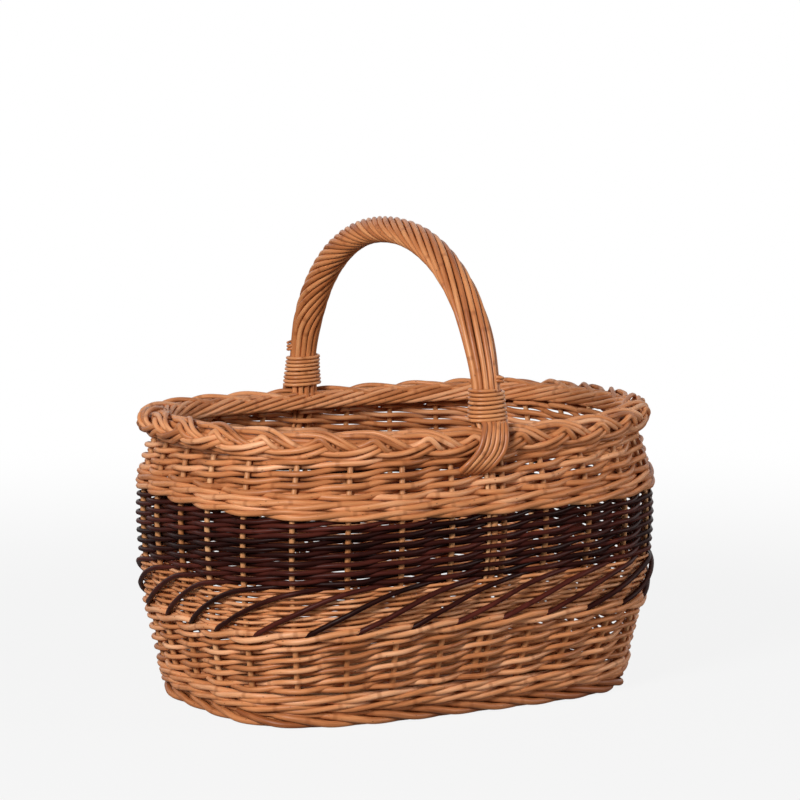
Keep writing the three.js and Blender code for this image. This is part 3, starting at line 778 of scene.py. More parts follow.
@dataclass(kw_only=True)
class SweptRanding(Randing):
    """Randing whose rods start outside, above the waist, and sweep up over the weaving below the band."""

    butt_diameter: float = 4.5
    settled: float = 4.0

    # Where a rod starts, and how much the starts differ
    START = 0.2
    START_RANGE = (-0.05, 0.07)

    # The sweep: places in stake spaces, heights from the band's bottom and steps out. The places of the butt
    # are counted from the rod's own start.
    BUTT_KNOTS = ((0.0, -45.6, 3.4), (0.16, -41.6, 5.4))
    SWEEP_KNOTS = ((0.6, -36.6, 6.4), (1.0, -27.5, 7.6), (1.4, -18.6, 7.2), (1.7, -12.9, 6.8),
                   (2.0, -8.8, 6.0), (2.5, -5.6, 0.0), (3.0, -3.6, -4.4))
    BUTT, THINNING, SPREAD = 1.03, 0.1, 0.06

    def rods(self, rng: np.random.Generator) -> Iterator[tuple[Array, Array, Array, Array]]:
        """Lay a sweeping rod from every stake.

        Args:
            rng: Source of chance.

        Returns:
            Each rod's shares, heights, steps out and radii.
        """
        end = self.settled + 2 * self.passes - 1 + self.TAIL
        for first in range(STAKES):
            start = self.START + rng.uniform(*self.START_RANGE)
            at = np.arange(start, end, 1 / self.steps)
            band = at - self.settled + 1
            butt = [(start + place, height, out) for place, height, out in self.BUTT_KNOTS]
            rise, out = smooth_curve([*butt, *self.SWEEP_KNOTS, (self.settled, 0.0, self.stand)], at).T
            height = np.where(band < 1, self.bottom + rise, self.height(band))
            height = height + wobble(rng, at, self.unevenness)
            share = (first + at) / STAKES
            out = self.round_bow(share, np.where(band < 1, out, self.out(band)), 1.0)
            radius = mix(self.butt_diameter, self.diameter, smoothstep(at, 0.0, self.settled)) / 2
            radius = radius * rng.uniform(1 - self.SPREAD, 1 + self.SPREAD)
            yield share, height, out, radius * (self.BUTT - self.THINNING * at / at[-1])


@dataclass(kw_only=True)
class Wale(Band):
    """Three-rod wale: every rod passes in front of two stakes, rising, and behind the third."""

    rows: Sequence[float]
    rise: float
    unevenness: float = 0.3
    steps: int = 10

    # Rods in a row, one after another, and stake spaces: from start to start, before the start, and in all
    RODS = 4
    SPACES = 21
    START = -1.3
    LENGTH = 21.6

    # How much further than the rest the front pass may stand, and the rod's thickness as in randing
    OVERSHOOT = 1.08
    BUTT, THINNING, SPREAD = 1.05, 0.12, 0.06

    def rods(self, rng: np.random.Generator) -> Iterator[tuple[Array, Array, Array, Array]]:
        """Lay the rods of each row.

        Args:
            rng: Source of chance.

        Returns:
            Each rod's shares, heights, steps out and radii.
        """
        half, stand, knots = self.rise / 2, self.stand, []
        for stake in range(-3, self.SPACES + 9, 3):
            knots += [(stake, -half, stand), (stake + 1, half, stand), (stake + 2, 0.0, -stand)]
        at = self.START + np.arange(round(self.LENGTH * self.steps) + 1) / self.steps
        lift, out = smooth_curve(knots, at).T
        out = np.clip(out, -stand, stand * self.OVERSHOOT)
        thinned = self.diameter / 2 * (self.BUTT - self.THINNING * (at - self.START) / self.LENGTH)
        for row, middle in enumerate(self.rows):
            for piece in range(self.RODS):
                share = (self.SPACES * piece + row + at) / STAKES
                height = middle + lift + wobble(rng, at, self.unevenness)
                radius = thinned * rng.uniform(1 - self.SPREAD, 1 + self.SPREAD)
                yield share, height, self.round_bow(share, out), radius


@dataclass
class Stakes:
    """Uprights of the wall, each a piece of its own, and a thin stick beside the bow in either long wall."""

    wall: Wall
    diameter: float = 5.1
    bottom: float = 8.0
    top: float = 236.0
    middle_step: float = 4.5
    liner_step: float = 10.4
    liner_radius: float = 1.7
    liner_bottom: float = 78.0
    liner_top: float = 232.0

    # Rows of a stake and of a liner, the sway of a stake, from wave to wave, and its thickness
    ROWS, LINER_ROWS = 46, 34
    SWAY, SWAY_LENGTH = 0.35, 30.0
    BUTT, THINNING = 1.03, 0.1

    def build(self) -> None:
        """Make the stakes and the thin sticks."""
        height = np.linspace(self.bottom, self.top, self.ROWS)
        steps = {0: self.middle_step, STAKES // 2: -self.middle_step}
        radius = self.diameter / 2 * (self.BUTT - self.THINNING * np.linspace(0, 1, self.ROWS))
        for index in range(STAKES):
            node = f"stake_{index + 1:02d}"
            bundle = Bundle(f"{node}_rod", 10, 400 + index)
            along = steps.get(index, 0.0) + wobble(bundle.rng, height, self.SWAY, self.SWAY_LENGTH)
            bundle.add(self.wall.place(height, index / STAKES, along), radius, ALONG)
            bundle.build(STAKE, node)
        liners = Bundle("middle_liners", 8, 431)
        height = np.linspace(self.liner_bottom, self.liner_top, self.LINER_ROWS)
        for share, along in ((0.0, -self.liner_step), (0.5, self.liner_step)):
            liners.add(self.wall.place(height, share, along), self.liner_radius, ALONG)
        liners.build(STAKE)


# Borders


def quarters(overlap: float) -> list[Array]:
    """Find places on four rods that follow one another round a border, and overlap by some stake spaces."""
    quarter = STAKES // 4
    return [quarter * piece + np.arange(0.0, quarter + overlap, 0.2) for piece in range(4)]


@dataclass
class FootBorder:
    """Ring that the basket stands on: each rod slants down over the next and runs along the ground."""

    middle: Outline = Outline(188.0, 124.0, 3.8)
    diameter: float = 6.2
    shift: float = 0.3

    # Places along a rod in stake spaces, heights and steps out. Rods inside, a dark filler that is painted
    # shade under the foot: height, step out and radius.
    KNOTS = ((-0.45, 10.6, -6.0), (-0.1, 11.0, -3.0), (0.3, 10.2, 2.6), (0.8, 7.2, 4.2), (1.25, 4.1, 4.2),
             (1.7, 3.2, 0.9), (2.1, 3.2, -3.2), (2.45, 3.4, -6.0))
    CORE = ((3.6, -2.6, 3.4), (8.4, -3.4, 3.4), (11.6, 1.4, 2.4))
    CORE_OVERLAP = 0.6

    # Step between places, unevenness, room under the rods, where a rod is thickest, its thinning, and tones,
    # kept low as painted shade on the foot border and its inner rods
    STEP = 0.08
    UNEVENNESS = 0.2
    GROUND_GAP = 0.05
    FULL_AT, THINNING = 0.9, 0.16
    TONES, CORE_TONE = (-0.7, 0.1), 0.15

    def build(self) -> None:
        """Lay the rods."""
        bundle = Bundle("foot_border_rods", 10, 51)
        table = RingTable([self.middle])
        at = np.arange(self.KNOTS[0][0], self.KNOTS[-1][0], self.STEP)
        heights, steps_out = smooth_curve(self.KNOTS, at).T
        radius = self.diameter / 2 * (1.0 - self.THINNING * abs(at - self.FULL_AT))
        for first in range(STAKES):
            place = table.at((first + at + self.shift) / STAKES, steps_out)
            height = heights + wobble(bundle.rng, at, self.UNEVENNESS)
            height = np.maximum(height, self.diameter / 2 + self.GROUND_GAP)
            # Low tones: painted shade on the foot border
            bundle.add(np.column_stack([place, height]), radius, tone=bundle.rng.uniform(*self.TONES))
        for level, out, thick in self.CORE:
            for run in quarters(self.CORE_OVERLAP):
                place = table.at((run + level) / STAKES, out)
                # Low tone of the inner rods: painted shade
                bundle.add(np.column_stack([place, np.full_like(run, level)]), thick, tone=self.CORE_TONE)
        bundle.build(BUFF, "foot_border")


@dataclass(frozen=True)
class RimRun:
    """One visible run of a rod in the plaited rim.

    Each knot is a place along the rim in stake spaces, an angle round its section from the outer side
    upwards, in degrees, and a step off the section, in millimetres.
    """

    diameter: float
    knots: tuple[tuple[float, float, float], ...]


@dataclass
class Rim:
    """Plaited rim: in every stake space a pair falls outwards, a third rod folds over and a pair climbs."""

    wall: Wall
    middle: Outline = Outline(209.5, 157.0, 2.5)
    bottom: float = 226.3
    height: float = 25.0
    across: float = 12.0
    upward: float = 9.9
    shift: float = 0.48
    table: RingTable = field(init=False)

    RUNS = (
        RimRun(4.3, ((-0.95, 152, -1.6), (-0.65, 134, -0.2), (-0.40, 116, 0.2), (-0.22, 102, 0.5),
                     (-0.05, 88, 0.9), (0.12, 70, 1.1), (0.26, 51, 1.1), (0.40, 31, 1.0), (0.54, 11, 0.3),
                     (0.68, -7, -1.4), (0.84, -26, -3.4))),
        RimRun(4.4, ((-0.74, 92, -3.0), (-0.58, 74, -2.0), (-0.43, 61, -0.4), (-0.28, 59, 0.4),
                     (-0.13, 56, 0.9), (0.02, 48, 1.2), (0.16, 36, 1.2), (0.30, 20, 0.8), (0.44, 3, -0.3),
                     (0.56, -12, -2.0), (0.68, -27, -3.6))),
        RimRun(4.7, ((-0.36, -8, -4.6), (-0.22, 8, -3.2), (-0.12, 21, -0.8), (-0.03, 31, 1.3),
                     (0.03, 28, 2.3), (0.12, 10, 1.9), (0.21, -10, 0.3), (0.30, -24, -2.2),
                     (0.38, -36, -3.8))),
        RimRun(4.8, ((-0.28, -16, -3.8), (-0.12, -26, -2.0), (0.04, -32, -0.1), (0.20, -33, 0.9),
                     (0.40, -28, 1.5), (0.60, -20, 1.6), (0.80, -8, 1.0), (0.96, 5, -0.4), (1.08, 17, -2.4),
                     (1.20, 30, -3.8))),
        RimRun(4.9, ((-0.50, -36, -3.6), (-0.32, -51, -1.6), (-0.14, -63, 0.0), (0.06, -69, 0.7),
                     (0.28, -67, 1.1), (0.50, -59, 1.5), (0.68, -47, 1.7), (0.86, -32, 1.4), (1.02, -18, 0.3),
                     (1.14, -8, -1.2), (1.30, 6, -3.4))),
    )

    # Step between places, how much stake spaces and angles differ, over what length, and the rods' thickness
    STEP = 0.05
    NUDGE = 0.035
    TURN_UNEVENNESS, TURN_LENGTH = 2.2, 0.4
    THICKNESS, BUTT, THINNING = (0.94, 1.05), 1.03, 0.05

    # Inner side, two rods a stake space: their length in spaces, first angle, turn, depth, unevenness and
    # size. They lie a little deeper where they start and end.
    LINING_SPACES = 2.5
    LINING_ANGLE, LINING_TURN = 100, 118
    LINING_DEPTH, START_DEPTH, END_DEPTH = 0.4, 1.8, 2.0
    LINING_SWAY = 0.25
    LINING_RADIUS, LINING_THICKNESS = 2.15, (0.95, 1.06)

    # Rods inside the plait: angle, step off the section and radius. Their low tone is painted shade in the
    # plait's gaps.
    CORE = ((-20.0, -7.0, 3.4), (60.0, -6.6, 3.4), (150.0, -7.0, 3.2), (-75.0, -6.0, 2.6))
    CORE_OVERLAP, CORE_TONE = 0.8, 0.1

    def __post_init__(self) -> None:
        """Measure the middle line."""
        self.table = RingTable([self.middle])

    def place(self, share: Array, angle: Array, off: Array) -> Array:
        """Find places round the rim's section.

        Args:
            share: Parts of the way round.
            angle: Angles round the section, in degrees.
            off: Steps off the section.

        Returns:
            One row of x, y and z for each place.
        """
        turn = np.radians(angle)
        x, y = self.table.at(share, (self.across + off) * np.cos(turn)).T
        up = (self.upward + off) * np.sin(turn)
        return np.column_stack([x, y, self.bottom + self.height / 2 + up + self.wall.lift(self.bottom, x, y)])

    def build(self) -> None:
        """Plait the rim."""
        bundle = Bundle("top_border_rods", 8, 61)
        rng = bundle.rng
        for space in range(STAKES):
            nudge = rng.uniform(-self.NUDGE, self.NUDGE)
            for run in self.RUNS:
                at = np.arange(run.knots[0][0], run.knots[-1][0], self.STEP)
                angle, off = smooth_curve(run.knots, at).T
                angle = angle + wobble(rng, at, self.TURN_UNEVENNESS, self.TURN_LENGTH)
                radius = run.diameter / 2 * rng.uniform(*self.THICKNESS)
                radius = radius * (self.BUTT - self.THINNING * (at - at[0]))
                bundle.add(self.place((space + self.shift + nudge + at) / STAKES, angle, off), radius)
        self.add_lining(bundle)
        for angle, off, radius in self.CORE:
            for run in quarters(self.CORE_OVERLAP):
                # Low tone of the inner rods: painted shade in the plait
                bundle.add(self.place((run + angle / 90) / STAKES, angle, off), radius, tone=self.CORE_TONE)
        bundle.build(BUFF, "top_border")

    def add_lining(self, bundle: Bundle) -> None:
        """Add the rods that slant down the inner side.

        Args:
            bundle: Bundle of the rim.
        """
        rng = bundle.rng
        at = np.arange(0.0, self.LINING_SPACES, 0.1)
        angle = self.LINING_ANGLE + self.LINING_TURN * smoothstep(at, -0.5, 2.6)
        off = -self.LINING_DEPTH - self.START_DEPTH * (1 - smoothstep(at, 0, 0.6))
        off = off - self.END_DEPTH * smoothstep(at, 2.0, self.LINING_SPACES)
        for start in np.arange(0, STAKES, 0.5):
            radius = self.LINING_RADIUS * rng.uniform(*self.LINING_THICKNESS)
            path = self.place((start + at) / STAKES, angle, off + wobble(rng, at, self.LINING_SWAY))
            bundle.add(path, radius)


# Handle


@dataclass
class Arch:
    """Middle line of the handle, from its back foot over the top to its front foot."""

    x: float = -5.0
    half_span: float = 157.0
    foot: float = 251.3
    top: float = 401.0
    roundness: float = 2.1

    def __post_init__(self) -> None:
        """Measure the line."""
        angle = math.pi * np.arange(SAMPLES + 1) / SAMPLES
        cos, power = np.cos(angle), 2 / self.roundness
        y = self.half_span * np.sign(cos) * abs(cos) ** power
        z = self.foot + (self.top - self.foot) * np.clip(np.sin(angle), 0, 1) ** power
        self.line = np.column_stack([np.full_like(y, self.x), y, z])
        self.lengths = travelled(self.line)
        self.total = float(self.lengths[-1])
        self.ahead = unit(np.gradient(self.line, axis=0))

    def at(self, distance: Array) -> tuple[Array, Array]:
        """Find places on the arch.

        Args:
            distance: Distances from the back foot.

        Returns:
            The places, and the directions out of the arch there.
        """
        place, ahead = (read_rows(distance, self.lengths, rows) for rows in (self.line, self.ahead))
        return place, unit(np.cross(-np.array(ALONG), ahead))

    def reach(self, height: float) -> float:
        """Find the distance along the arch at which it first reaches a height."""
        return float(self.lengths[np.argmax(self.line[:, 2] >= height)])

    def turned(self, path: Array) -> Array:
        """Turn places half round the middle of the arch, from one foot to the other."""
        return path * np.array([-1.0, -1.0, 1.0]) + 2 * self.x * np.array(ALONG)


@dataclass
class Handle:
    """Roped handle: a bow, twelve rods twisted round it, and a binding at each foot."""

    wall: Wall
    arch: Arch = field(default_factory=Arch)
    rods: int = 12
    diameter: float = 4.7
    depth: float = 9.2
    width: float = 11.5
    back_steps: float = 17.0
    back_curve: float = 1.3
    front_steps: float = 9.0
    front_curve: float = 1.9
    spread: float = 45.0
    neck: tuple[float, float] = (0.83, 0.92)
    foot: tuple[float, float] = (1.10, 0.90)
    outer_places: tuple[int, int] = (-3, 2)
    binding_bottom: float = 250.1
    binding_pitch: float = 3.35
    binding_loops: int = 8
    binding_rod: float = 3.0
    bow_bottom: float = 40.0
    bow_bound: float = 10.0
    bow_full: float = 12.2
    bow_end: float = 5.8

    # Ends of the outer rods at the front foot: place, x of the left and the right edge, distance out from the
    # middle of the basket, height of the left and the right edge. Every other rod lies a little further out.
    TAIL = (
        (0.0, -13.8, 5.6, 169.5, 251.9, 250.7), (0.7, -18.3, 2.8, 174.0, 246.1, 244.7),
        (1.4, -20.6, 2.0, 175.6, 239.8, 238.3), (2.0, -22.3, 0.9, 175.8, 235.0, 233.4),
        (2.7, -24.9, -1.2, 175.4, 229.7, 227.7), (3.4, -29.2, -5.2, 174.8, 225.0, 222.9),
        (4.2, -33.9, -9.2, 173.4, 220.2, 218.4), (4.9, -37.8, -13.6, 170.5, 215.6, 214.3),
        (5.3, -38.1, -14.9, 165.5, 212.9, 211.7),
    )
    TAIL_ROWS = 44
    TAIL_SWELL = 0.5

    # The rod next to them goes down behind the outer rods of the rim, and the others inside it
    SIDE_TAIL = ((-14.9, -160.6, 251.5), (-14.6, -162.0, 248.0), (-15.4, -163.0, 243.0),
                 (-16.0, -161.5, 238.0), (-16.2, -160.0, 234.0))
    INNER_TAIL = (3, 20, 6)
    INNER_WAY = (0.0, 0.02, -1.0)

    # How the rope narrows below and above the binding, where its rods start, and the steps along a rod
    NECK_RISE, FOOT_DROP = 4, 6
    ROPE_GAP = 1.5
    ROPE_ROWS, ROPE_STEP, ROPE_SMOOTHINGS = 190, 3.0, 3
    BUTT, THINNING, SPREAD = 1.03, 0.06, 0.05

    # Rows of the bow in a wall and over the arch, where it thickens above its foot, and its tone, kept low as
    # painted shade
    LEG_ROWS, ARCH_ROWS = 30, 90
    BOW_SWELL = (-1, 6)
    BOW_PAINTED_SHADE_TONE = 0.2

    # Binding: steps in a turn, room over the rods, shape of its turns, and a step between two of them
    TURN_STEPS = 48
    BINDING_ROOM = 0.25
    BINDING_ROUNDNESS = 2.3
    TURN_GAP, TURN_GAP_AT = 0.55, (3.8, 4.2)
    BINDING_TONE = 0.9

    # Knot of the binding's end round the outermost rod: turns, steps in one, first angle and place, half
    # width, half depth, rise in a turn and across it, radius of its rod and tone
    KNOT_TURNS, KNOT_STEPS, KNOT_ANGLE = 2.3, 24, 0.6
    KNOT_ASIDE, KNOT_OUT, KNOT_UP = 8.6, 160.0, 4.0
    KNOT_WIDTH, KNOT_DEPTH = 3.7, 4.1
    KNOT_PITCH, KNOT_SLANT = 2.9, 1.2
    KNOT_RADIUS, KNOT_TONE = 1.3, 0.5

    def __post_init__(self) -> None:
        """Work out the heights and distances that follow from the sizes."""
        self.binding_top = self.binding_bottom + self.binding_loops * self.binding_pitch + self.binding_rod
        self.rope_start = self.arch.reach(self.binding_bottom + self.binding_rod)
        self.twist_start = self.arch.reach(self.binding_top + self.spread / 2)
        self.oval_shares = np.linspace(0, 1, SAMPLES + 1)
        self.oval = Outline(self.width, self.depth, 2.0).table(self.oval_shares)[:, :2]

    def twist(self, distance: Array) -> Array:
        """Find how far the rope has turned, in steps from rod to rod.

        Args:
            distance: Distances from the back foot.

        Returns:
            Steps turned.
        """
        middle = self.arch.total / 2
        run = middle - self.twist_start
        back = np.clip((distance - self.twist_start) / run, 0, 1)
        front = np.clip((self.arch.total - self.twist_start - distance) / run, 0, 1)
        first = self.back_steps * back**self.back_curve
        second = self.back_steps + self.front_steps * (1 - front**self.front_curve)
        return np.where(distance <= middle, first, second)

    def girth(self, height: Array) -> Array:
        """Find how much the rope's oval is narrowed and flattened at a height.

        Args:
            height: Heights on the arch.

        Returns:
            Factors of its width and its depth, one row for each height.
        """
        opened = smoothstep(height, self.binding_top - self.NECK_RISE, self.binding_top + self.spread)
        spread = 1.0 - smoothstep(height, self.binding_bottom - self.FOOT_DROP, self.binding_top)
        neck, foot = np.array(self.neck), np.array(self.foot)
        return neck + (1.0 - neck) * opened[:, None] + (foot - neck) * spread[:, None]

    def rope_path(self, index: int, distance: Array) -> Array:
        """Find places on a rod of the rope.

        Args:
            index: Number of the rod, from the outer middle at the back foot.
            distance: Distances along the arch.

        Returns:
            One row of x, y and z for each place.
        """
        place, out = self.arch.at(distance)
        turn = (0.5 + (index + self.twist(distance)) / self.rods) % 1.0
        aside, outward = (read_rows(turn, self.oval_shares, self.oval) * self.girth(place[:, 2])).T
        return place + aside[:, None] * np.array(ALONG) + outward[:, None] * out

    def tail(self, lane: int) -> Array:
        """Find the end of an outer rod at the front foot: over the rim, down and to the left.

        Args:
            lane: Number of the rod's place, which grows towards -X.

        Returns:
            One row of x, y and z for each place, from the top down.
        """
        at = np.linspace(0, self.TAIL[-1][0], self.TAIL_ROWS)
        left, right, out, left_height, right_height = smooth_curve(self.TAIL, at).T
        part = (lane - self.outer_places[0]) / (self.outer_places[1] - self.outer_places[0])
        swell = self.TAIL_SWELL * (lane % 2) * np.sin(np.linspace(0, math.pi, self.TAIL_ROWS))
        return np.column_stack([mix(right, left, part), -(out + swell), mix(right_height, left_height, part)])

    def rod_end(self, step: float, last: Array) -> Array:
        """Find the end of a rod at the front foot.

        Args:
            step: Steps from rod to rod that the rod lies from the outer middle.
            last: Where the rope leaves it.

        Returns:
            One row of x, y and z for each place, from the top down.
        """
        place = int(round(step)) % self.rods
        if place > self.rods / 2:
            place -= self.rods
        if self.outer_places[0] <= place <= self.outer_places[1]:
            return self.tail(place)
        if place == self.outer_places[1] + 1:
            return np.array(self.SIDE_TAIL)
        return last + np.linspace(*self.INNER_TAIL)[:, None] * np.array(self.INNER_WAY)

    def build(self) -> None:
        """Make the bow, the rods and the bindings."""
        self.build_bow()
        for index in range(self.rods):
            self.build_rod(index)
        self.build_binding("front_binding", 95, -1.0)
        self.build_binding("back_binding", 96, 1.0)

    def build_bow(self) -> None:
        """Make the bow with its ends in the walls."""
        leg = np.linspace(self.bow_bottom, self.wall.mouth_height, self.LEG_ROWS)
        back = self.wall.place(leg, 0.5, -self.arch.x)
        front = self.wall.place(leg, 0.0, self.arch.x)[::-1]
        middle, _ = self.arch.at(np.linspace(0, self.arch.total, self.ARCH_ROWS))
        full = smoothstep(middle[:, 2], self.binding_top, self.binding_top + self.spread)
        bound = smoothstep(middle[:, 2], *(self.arch.foot + step for step in self.BOW_SWELL))
        thick = self.bow_end + (self.bow_bound - self.bow_end) * bound
        thick = thick + (self.bow_full - self.bow_bound) * full
        bundle = Bundle("handle_bow_rod", 10, 71)
        radius = np.pad(thick, self.LEG_ROWS, constant_values=self.bow_end) / 2
        # Low tone of the bow: painted shade
        bundle.add(np.vstack([back, middle, front]), radius, ALONG, tone=self.BOW_PAINTED_SHADE_TONE)
        bundle.build(STAKE, "handle_bow", slot=HANDLE.slot)

    def build_rod(self, index: int) -> None:
        """Make one rod of the rope, with its ends over the rim or down inside it.

        Args:
            index: Number of the rod, from the outer middle at the back foot.
        """
        node = f"handle_rod_{index + 1:02d}"
        bundle = Bundle(f"{node}_willow", 10, 80 + index)
        first = self.rope_start + self.ROPE_GAP
        path = self.rope_path(index, np.linspace(first, self.arch.total - first, self.ROPE_ROWS))
        turned = self.arch.turned
        back = turned(self.rod_end(-index, turned(path[0])))[::-1]
        front = self.rod_end(index + self.back_steps + self.front_steps, path[-1])
        path = self.even(np.vstack([back, path, front]))
        radius = self.diameter / 2 * bundle.rng.uniform(1 - self.SPREAD, 1 + self.SPREAD)
        bundle.add(path, radius * (self.BUTT - self.THINNING * np.linspace(0, 1, len(path))), ALONG)
        bundle.build(HANDLE, node)

    def even(self, path: Array) -> Array:
        """Space a path evenly and take small kinks out of it.

        Args:
            path: Rows of x, y and z.

        Returns:
            The new rows.
        """
        lengths = travelled(path)
        keep = np.concatenate([[True], np.diff(lengths) > 1e-6])
        lengths, path = lengths[keep], path[keep]
        rows = read_rows(np.linspace(0, lengths[-1], int(lengths[-1] / self.ROPE_STEP) + 1), lengths, path)
        for _ in range(self.ROPE_SMOOTHINGS):
            rows[1:-1] = rows[1:-1] * 0.5 + (rows[:-2] + rows[2:]) * 0.25
        return rows

    def build_binding(self, node: str, seed: int, facing: float) -> None:
        """Wind the binding of one foot, with its end tucked round the outermost rod.

        Args:
            node: Name of the solid.
            seed: Seed of its chance.
            facing: -1 at the front foot and 1 at the back foot.
        """
        bundle = Bundle(f"{node}_rod", 8, seed)
        turns = np.arange(self.binding_loops * self.TURN_STEPS + 1) / self.TURN_STEPS
        height = self.binding_bottom + self.binding_rod / 2 + turns * self.binding_pitch
        height = height + self.TURN_GAP * smoothstep(turns, *self.TURN_GAP_AT)
        room = self.diameter / 2 + self.binding_rod / 2 + self.BINDING_ROOM
        half = np.array([self.width, self.depth]) * self.girth(height) + room
        angle, power = -math.pi / 2 + 2 * math.pi * turns, self.BINDING_ROUNDNESS
        ray = np.column_stack([np.cos(angle), np.sin(angle)])
        aside, inward = (ray * (abs(ray / half) ** power).sum(axis=1, keepdims=True) ** (-1 / power)).T
        middle, _ = self.arch.at(np.array([self.arch.reach(value) for value in height]))
        path = np.column_stack([self.arch.x - facing * aside, facing * (middle[:, 1] - inward), height])
        bundle.add(path, self.binding_rod / 2, UP, tone=self.BINDING_TONE)
        turns = np.arange(0, self.KNOT_TURNS, 1 / self.KNOT_STEPS)
        angle = 2 * math.pi * turns + self.KNOT_ANGLE
        rise = self.KNOT_PITCH * turns + self.KNOT_SLANT * facing * np.cos(angle)
        knot = np.column_stack([self.KNOT_WIDTH * np.cos(angle), self.KNOT_DEPTH * np.sin(angle), rise])
        edge = np.array([
            self.arch.x - facing * self.KNOT_ASIDE, facing * self.KNOT_OUT, self.binding_top + self.KNOT_UP])
        bundle.add(edge + knot, self.KNOT_RADIUS, UP, tone=self.KNOT_TONE)
        bundle.build(HANDLE, node)


# Base


@dataclass
class Base:
    """Stick base: long sticks threaded through short ones, with rods woven over and under the short ones."""

    outline: Outline = Outline(181.2, 117.2, 3.8)
    level: float = 8.5
    long_places: tuple[float, ...] = (-56.0, 0.0, 56.0)
    cross_places: tuple[float, ...] = (-126.0, -42.0, 42.0, 126.0)
    long_diameter: float = 5.0
    cross_diameter: float = 8.4
    rod: float = 3.7
    rod_gap: float = 0.25
    stand: float = 5.1

    # Sticks: how far they stop short of the edge, their sides, bevelled ends, cuts, and draw-in at one cut
    STICK_TRIM = 1.0
    STICK_SIDES = 16
    BEVEL, BEVEL_STEPS = 0.16, 3
    CUTS, DRAW_IN = (-0.3, 0.0, 0.3), 0.94
    SMOOTH_ANGLE = 40

    # Rods: how far they stop short of the edge, their rows, the overlap that long sticks allow, the part of
    # the swing that is left at their ends, over what length it grows, their unevenness, its wave length and
    # how thick they are
    ROD_TRIM, ROD_ROWS = 2.0, 72
    STICK_OVERLAP = 0.6
    END_SWING, SWING_RUN = 0.25, 30.0
    UNEVENNESS, WAVE = 0.25, 40.0
    THICKNESS = (0.94, 1.04)

    def half_chord(self, along_x: bool, offset: float) -> float:
        """Find half the length of a straight line across the base.

        Args:
            along_x: Whether the line runs along the basket.
            offset: Distance of the line from the middle.

        Returns:
            Half its length.
        """
        half, other = self.outline.half if along_x else self.outline.half[::-1]
        power = self.outline.roundness
        return half * (1 - abs(offset / other) ** power) ** (1 / power)

    def stick(self, node: str, diameter: float, along_x: bool, offset: float, finish: Willow) -> None:
        """Shape one stick from a round bar: bevelled ends, and a thinner place towards one of them.

        Args:
            node: Solid that it stands for.
            diameter: Thickness of the stick.
            along_x: Whether it runs along the basket.
            offset: Its distance from the middle.
            finish: Its finish.
        """
        length = 2 * (self.half_chord(along_x, offset) - self.STICK_TRIM) * MM
        turn = (0.0, math.pi / 2, 0.0) if along_x else (math.pi / 2, 0.0, 0.0)
        place = (0.0, offset * MM, self.level * MM) if along_x else (offset * MM, 0.0, self.level * MM)
        axis = 0 if along_x else 1
        way = Vector(np.eye(3)[axis])
        bpy.ops.object.select_all(action="DESELECT")
        bpy.ops.mesh.primitive_cylinder_add(
            vertices=self.STICK_SIDES, radius=diameter / 2 * MM, depth=length, end_fill_type="NGON",
            location=place, rotation=turn)
        piece = bpy.context.object
        piece.name = piece.data.name = f"{node}_willow"
        bpy.ops.object.transform_apply(location=True, rotation=True, scale=True)
        bpy.ops.object.mode_set(mode="EDIT")
        bpy.ops.mesh.select_mode(type="FACE")
        bpy.ops.mesh.select_all(action="DESELECT")
        bpy.ops.object.mode_set(mode="OBJECT")
        for face in piece.data.polygons:
            face.select = abs(face.normal[axis]) > 0.9
        bpy.ops.object.mode_set(mode="EDIT")
        bpy.ops.mesh.bevel(offset=diameter * self.BEVEL * MM, segments=self.BEVEL_STEPS, affect="EDGES")
        for cut in self.CUTS:
            bpy.ops.mesh.select_all(action="SELECT")
            bpy.ops.mesh.bisect(plane_co=way * cut * length, plane_no=way)
        bpy.ops.mesh.select_all(action="DESELECT")
        bpy.ops.object.mode_set(mode="OBJECT")
        for corner in piece.data.vertices:
            corner.select = abs(corner.co[axis] - self.CUTS[-1] * length) < 1e-5
        bpy.ops.object.mode_set(mode="EDIT")
        bpy.ops.mesh.select_mode(type="VERT")
        bpy.ops.transform.resize(value=[1.0 if number == axis else self.DRAW_IN for number in range(3)])
        bpy.ops.object.mode_set(mode="OBJECT")
        bpy.ops.object.shade_smooth_by_angle(angle=math.radians(self.SMOOTH_ANGLE))
        settle(piece, finish, finish.slot, [node])

    def build(self) -> None:
        """Make the sticks and weave the rods."""
        for number, offset in enumerate(self.long_places, 1):
            self.stick(f"base_long_stick_{number:02d}", self.long_diameter, True, offset, LONG_STICK)
        for number, offset in enumerate(self.cross_places, 1):
            self.stick(f"base_cross_stick_{number:02d}", self.cross_diameter, False, offset, CROSS_STICK)
        bundle = Bundle("base_weave_rods", 6, 33)
        rng = bundle.rng
        gap = self.cross_places[1] - self.cross_places[0]
        pitch = self.rod + self.rod_gap
        room = (self.long_diameter + self.rod) / 2 - self.STICK_OVERLAP
        count = int(2 * (self.outline.half_width - self.rod / 2) / pitch)
        for number in range(count):
            y = (number - (count - 1) / 2) * pitch
            if any(abs(y - place) < room for place in self.long_places):
                continue
            half = self.half_chord(True, y) - self.ROD_TRIM
            x = np.linspace(-half, half, self.ROD_ROWS)
            side = 1.0 if number % 2 else -1.0
            swing = np.cos(math.pi * (x - self.cross_places[0]) / gap)
            ease = mix(self.END_SWING, 1.0, smoothstep(half - abs(x), 0.0, self.SWING_RUN))
            z = self.level + side * swing * self.stand * ease
            path = np.column_stack([x, y + wobble(rng, x, self.UNEVENNESS, self.WAVE), z])
            bundle.add(path, self.rod / 2 * rng.uniform(*self.THICKNESS))
        bundle.build(BASE, "base_weave")


# Basket, studio and camera


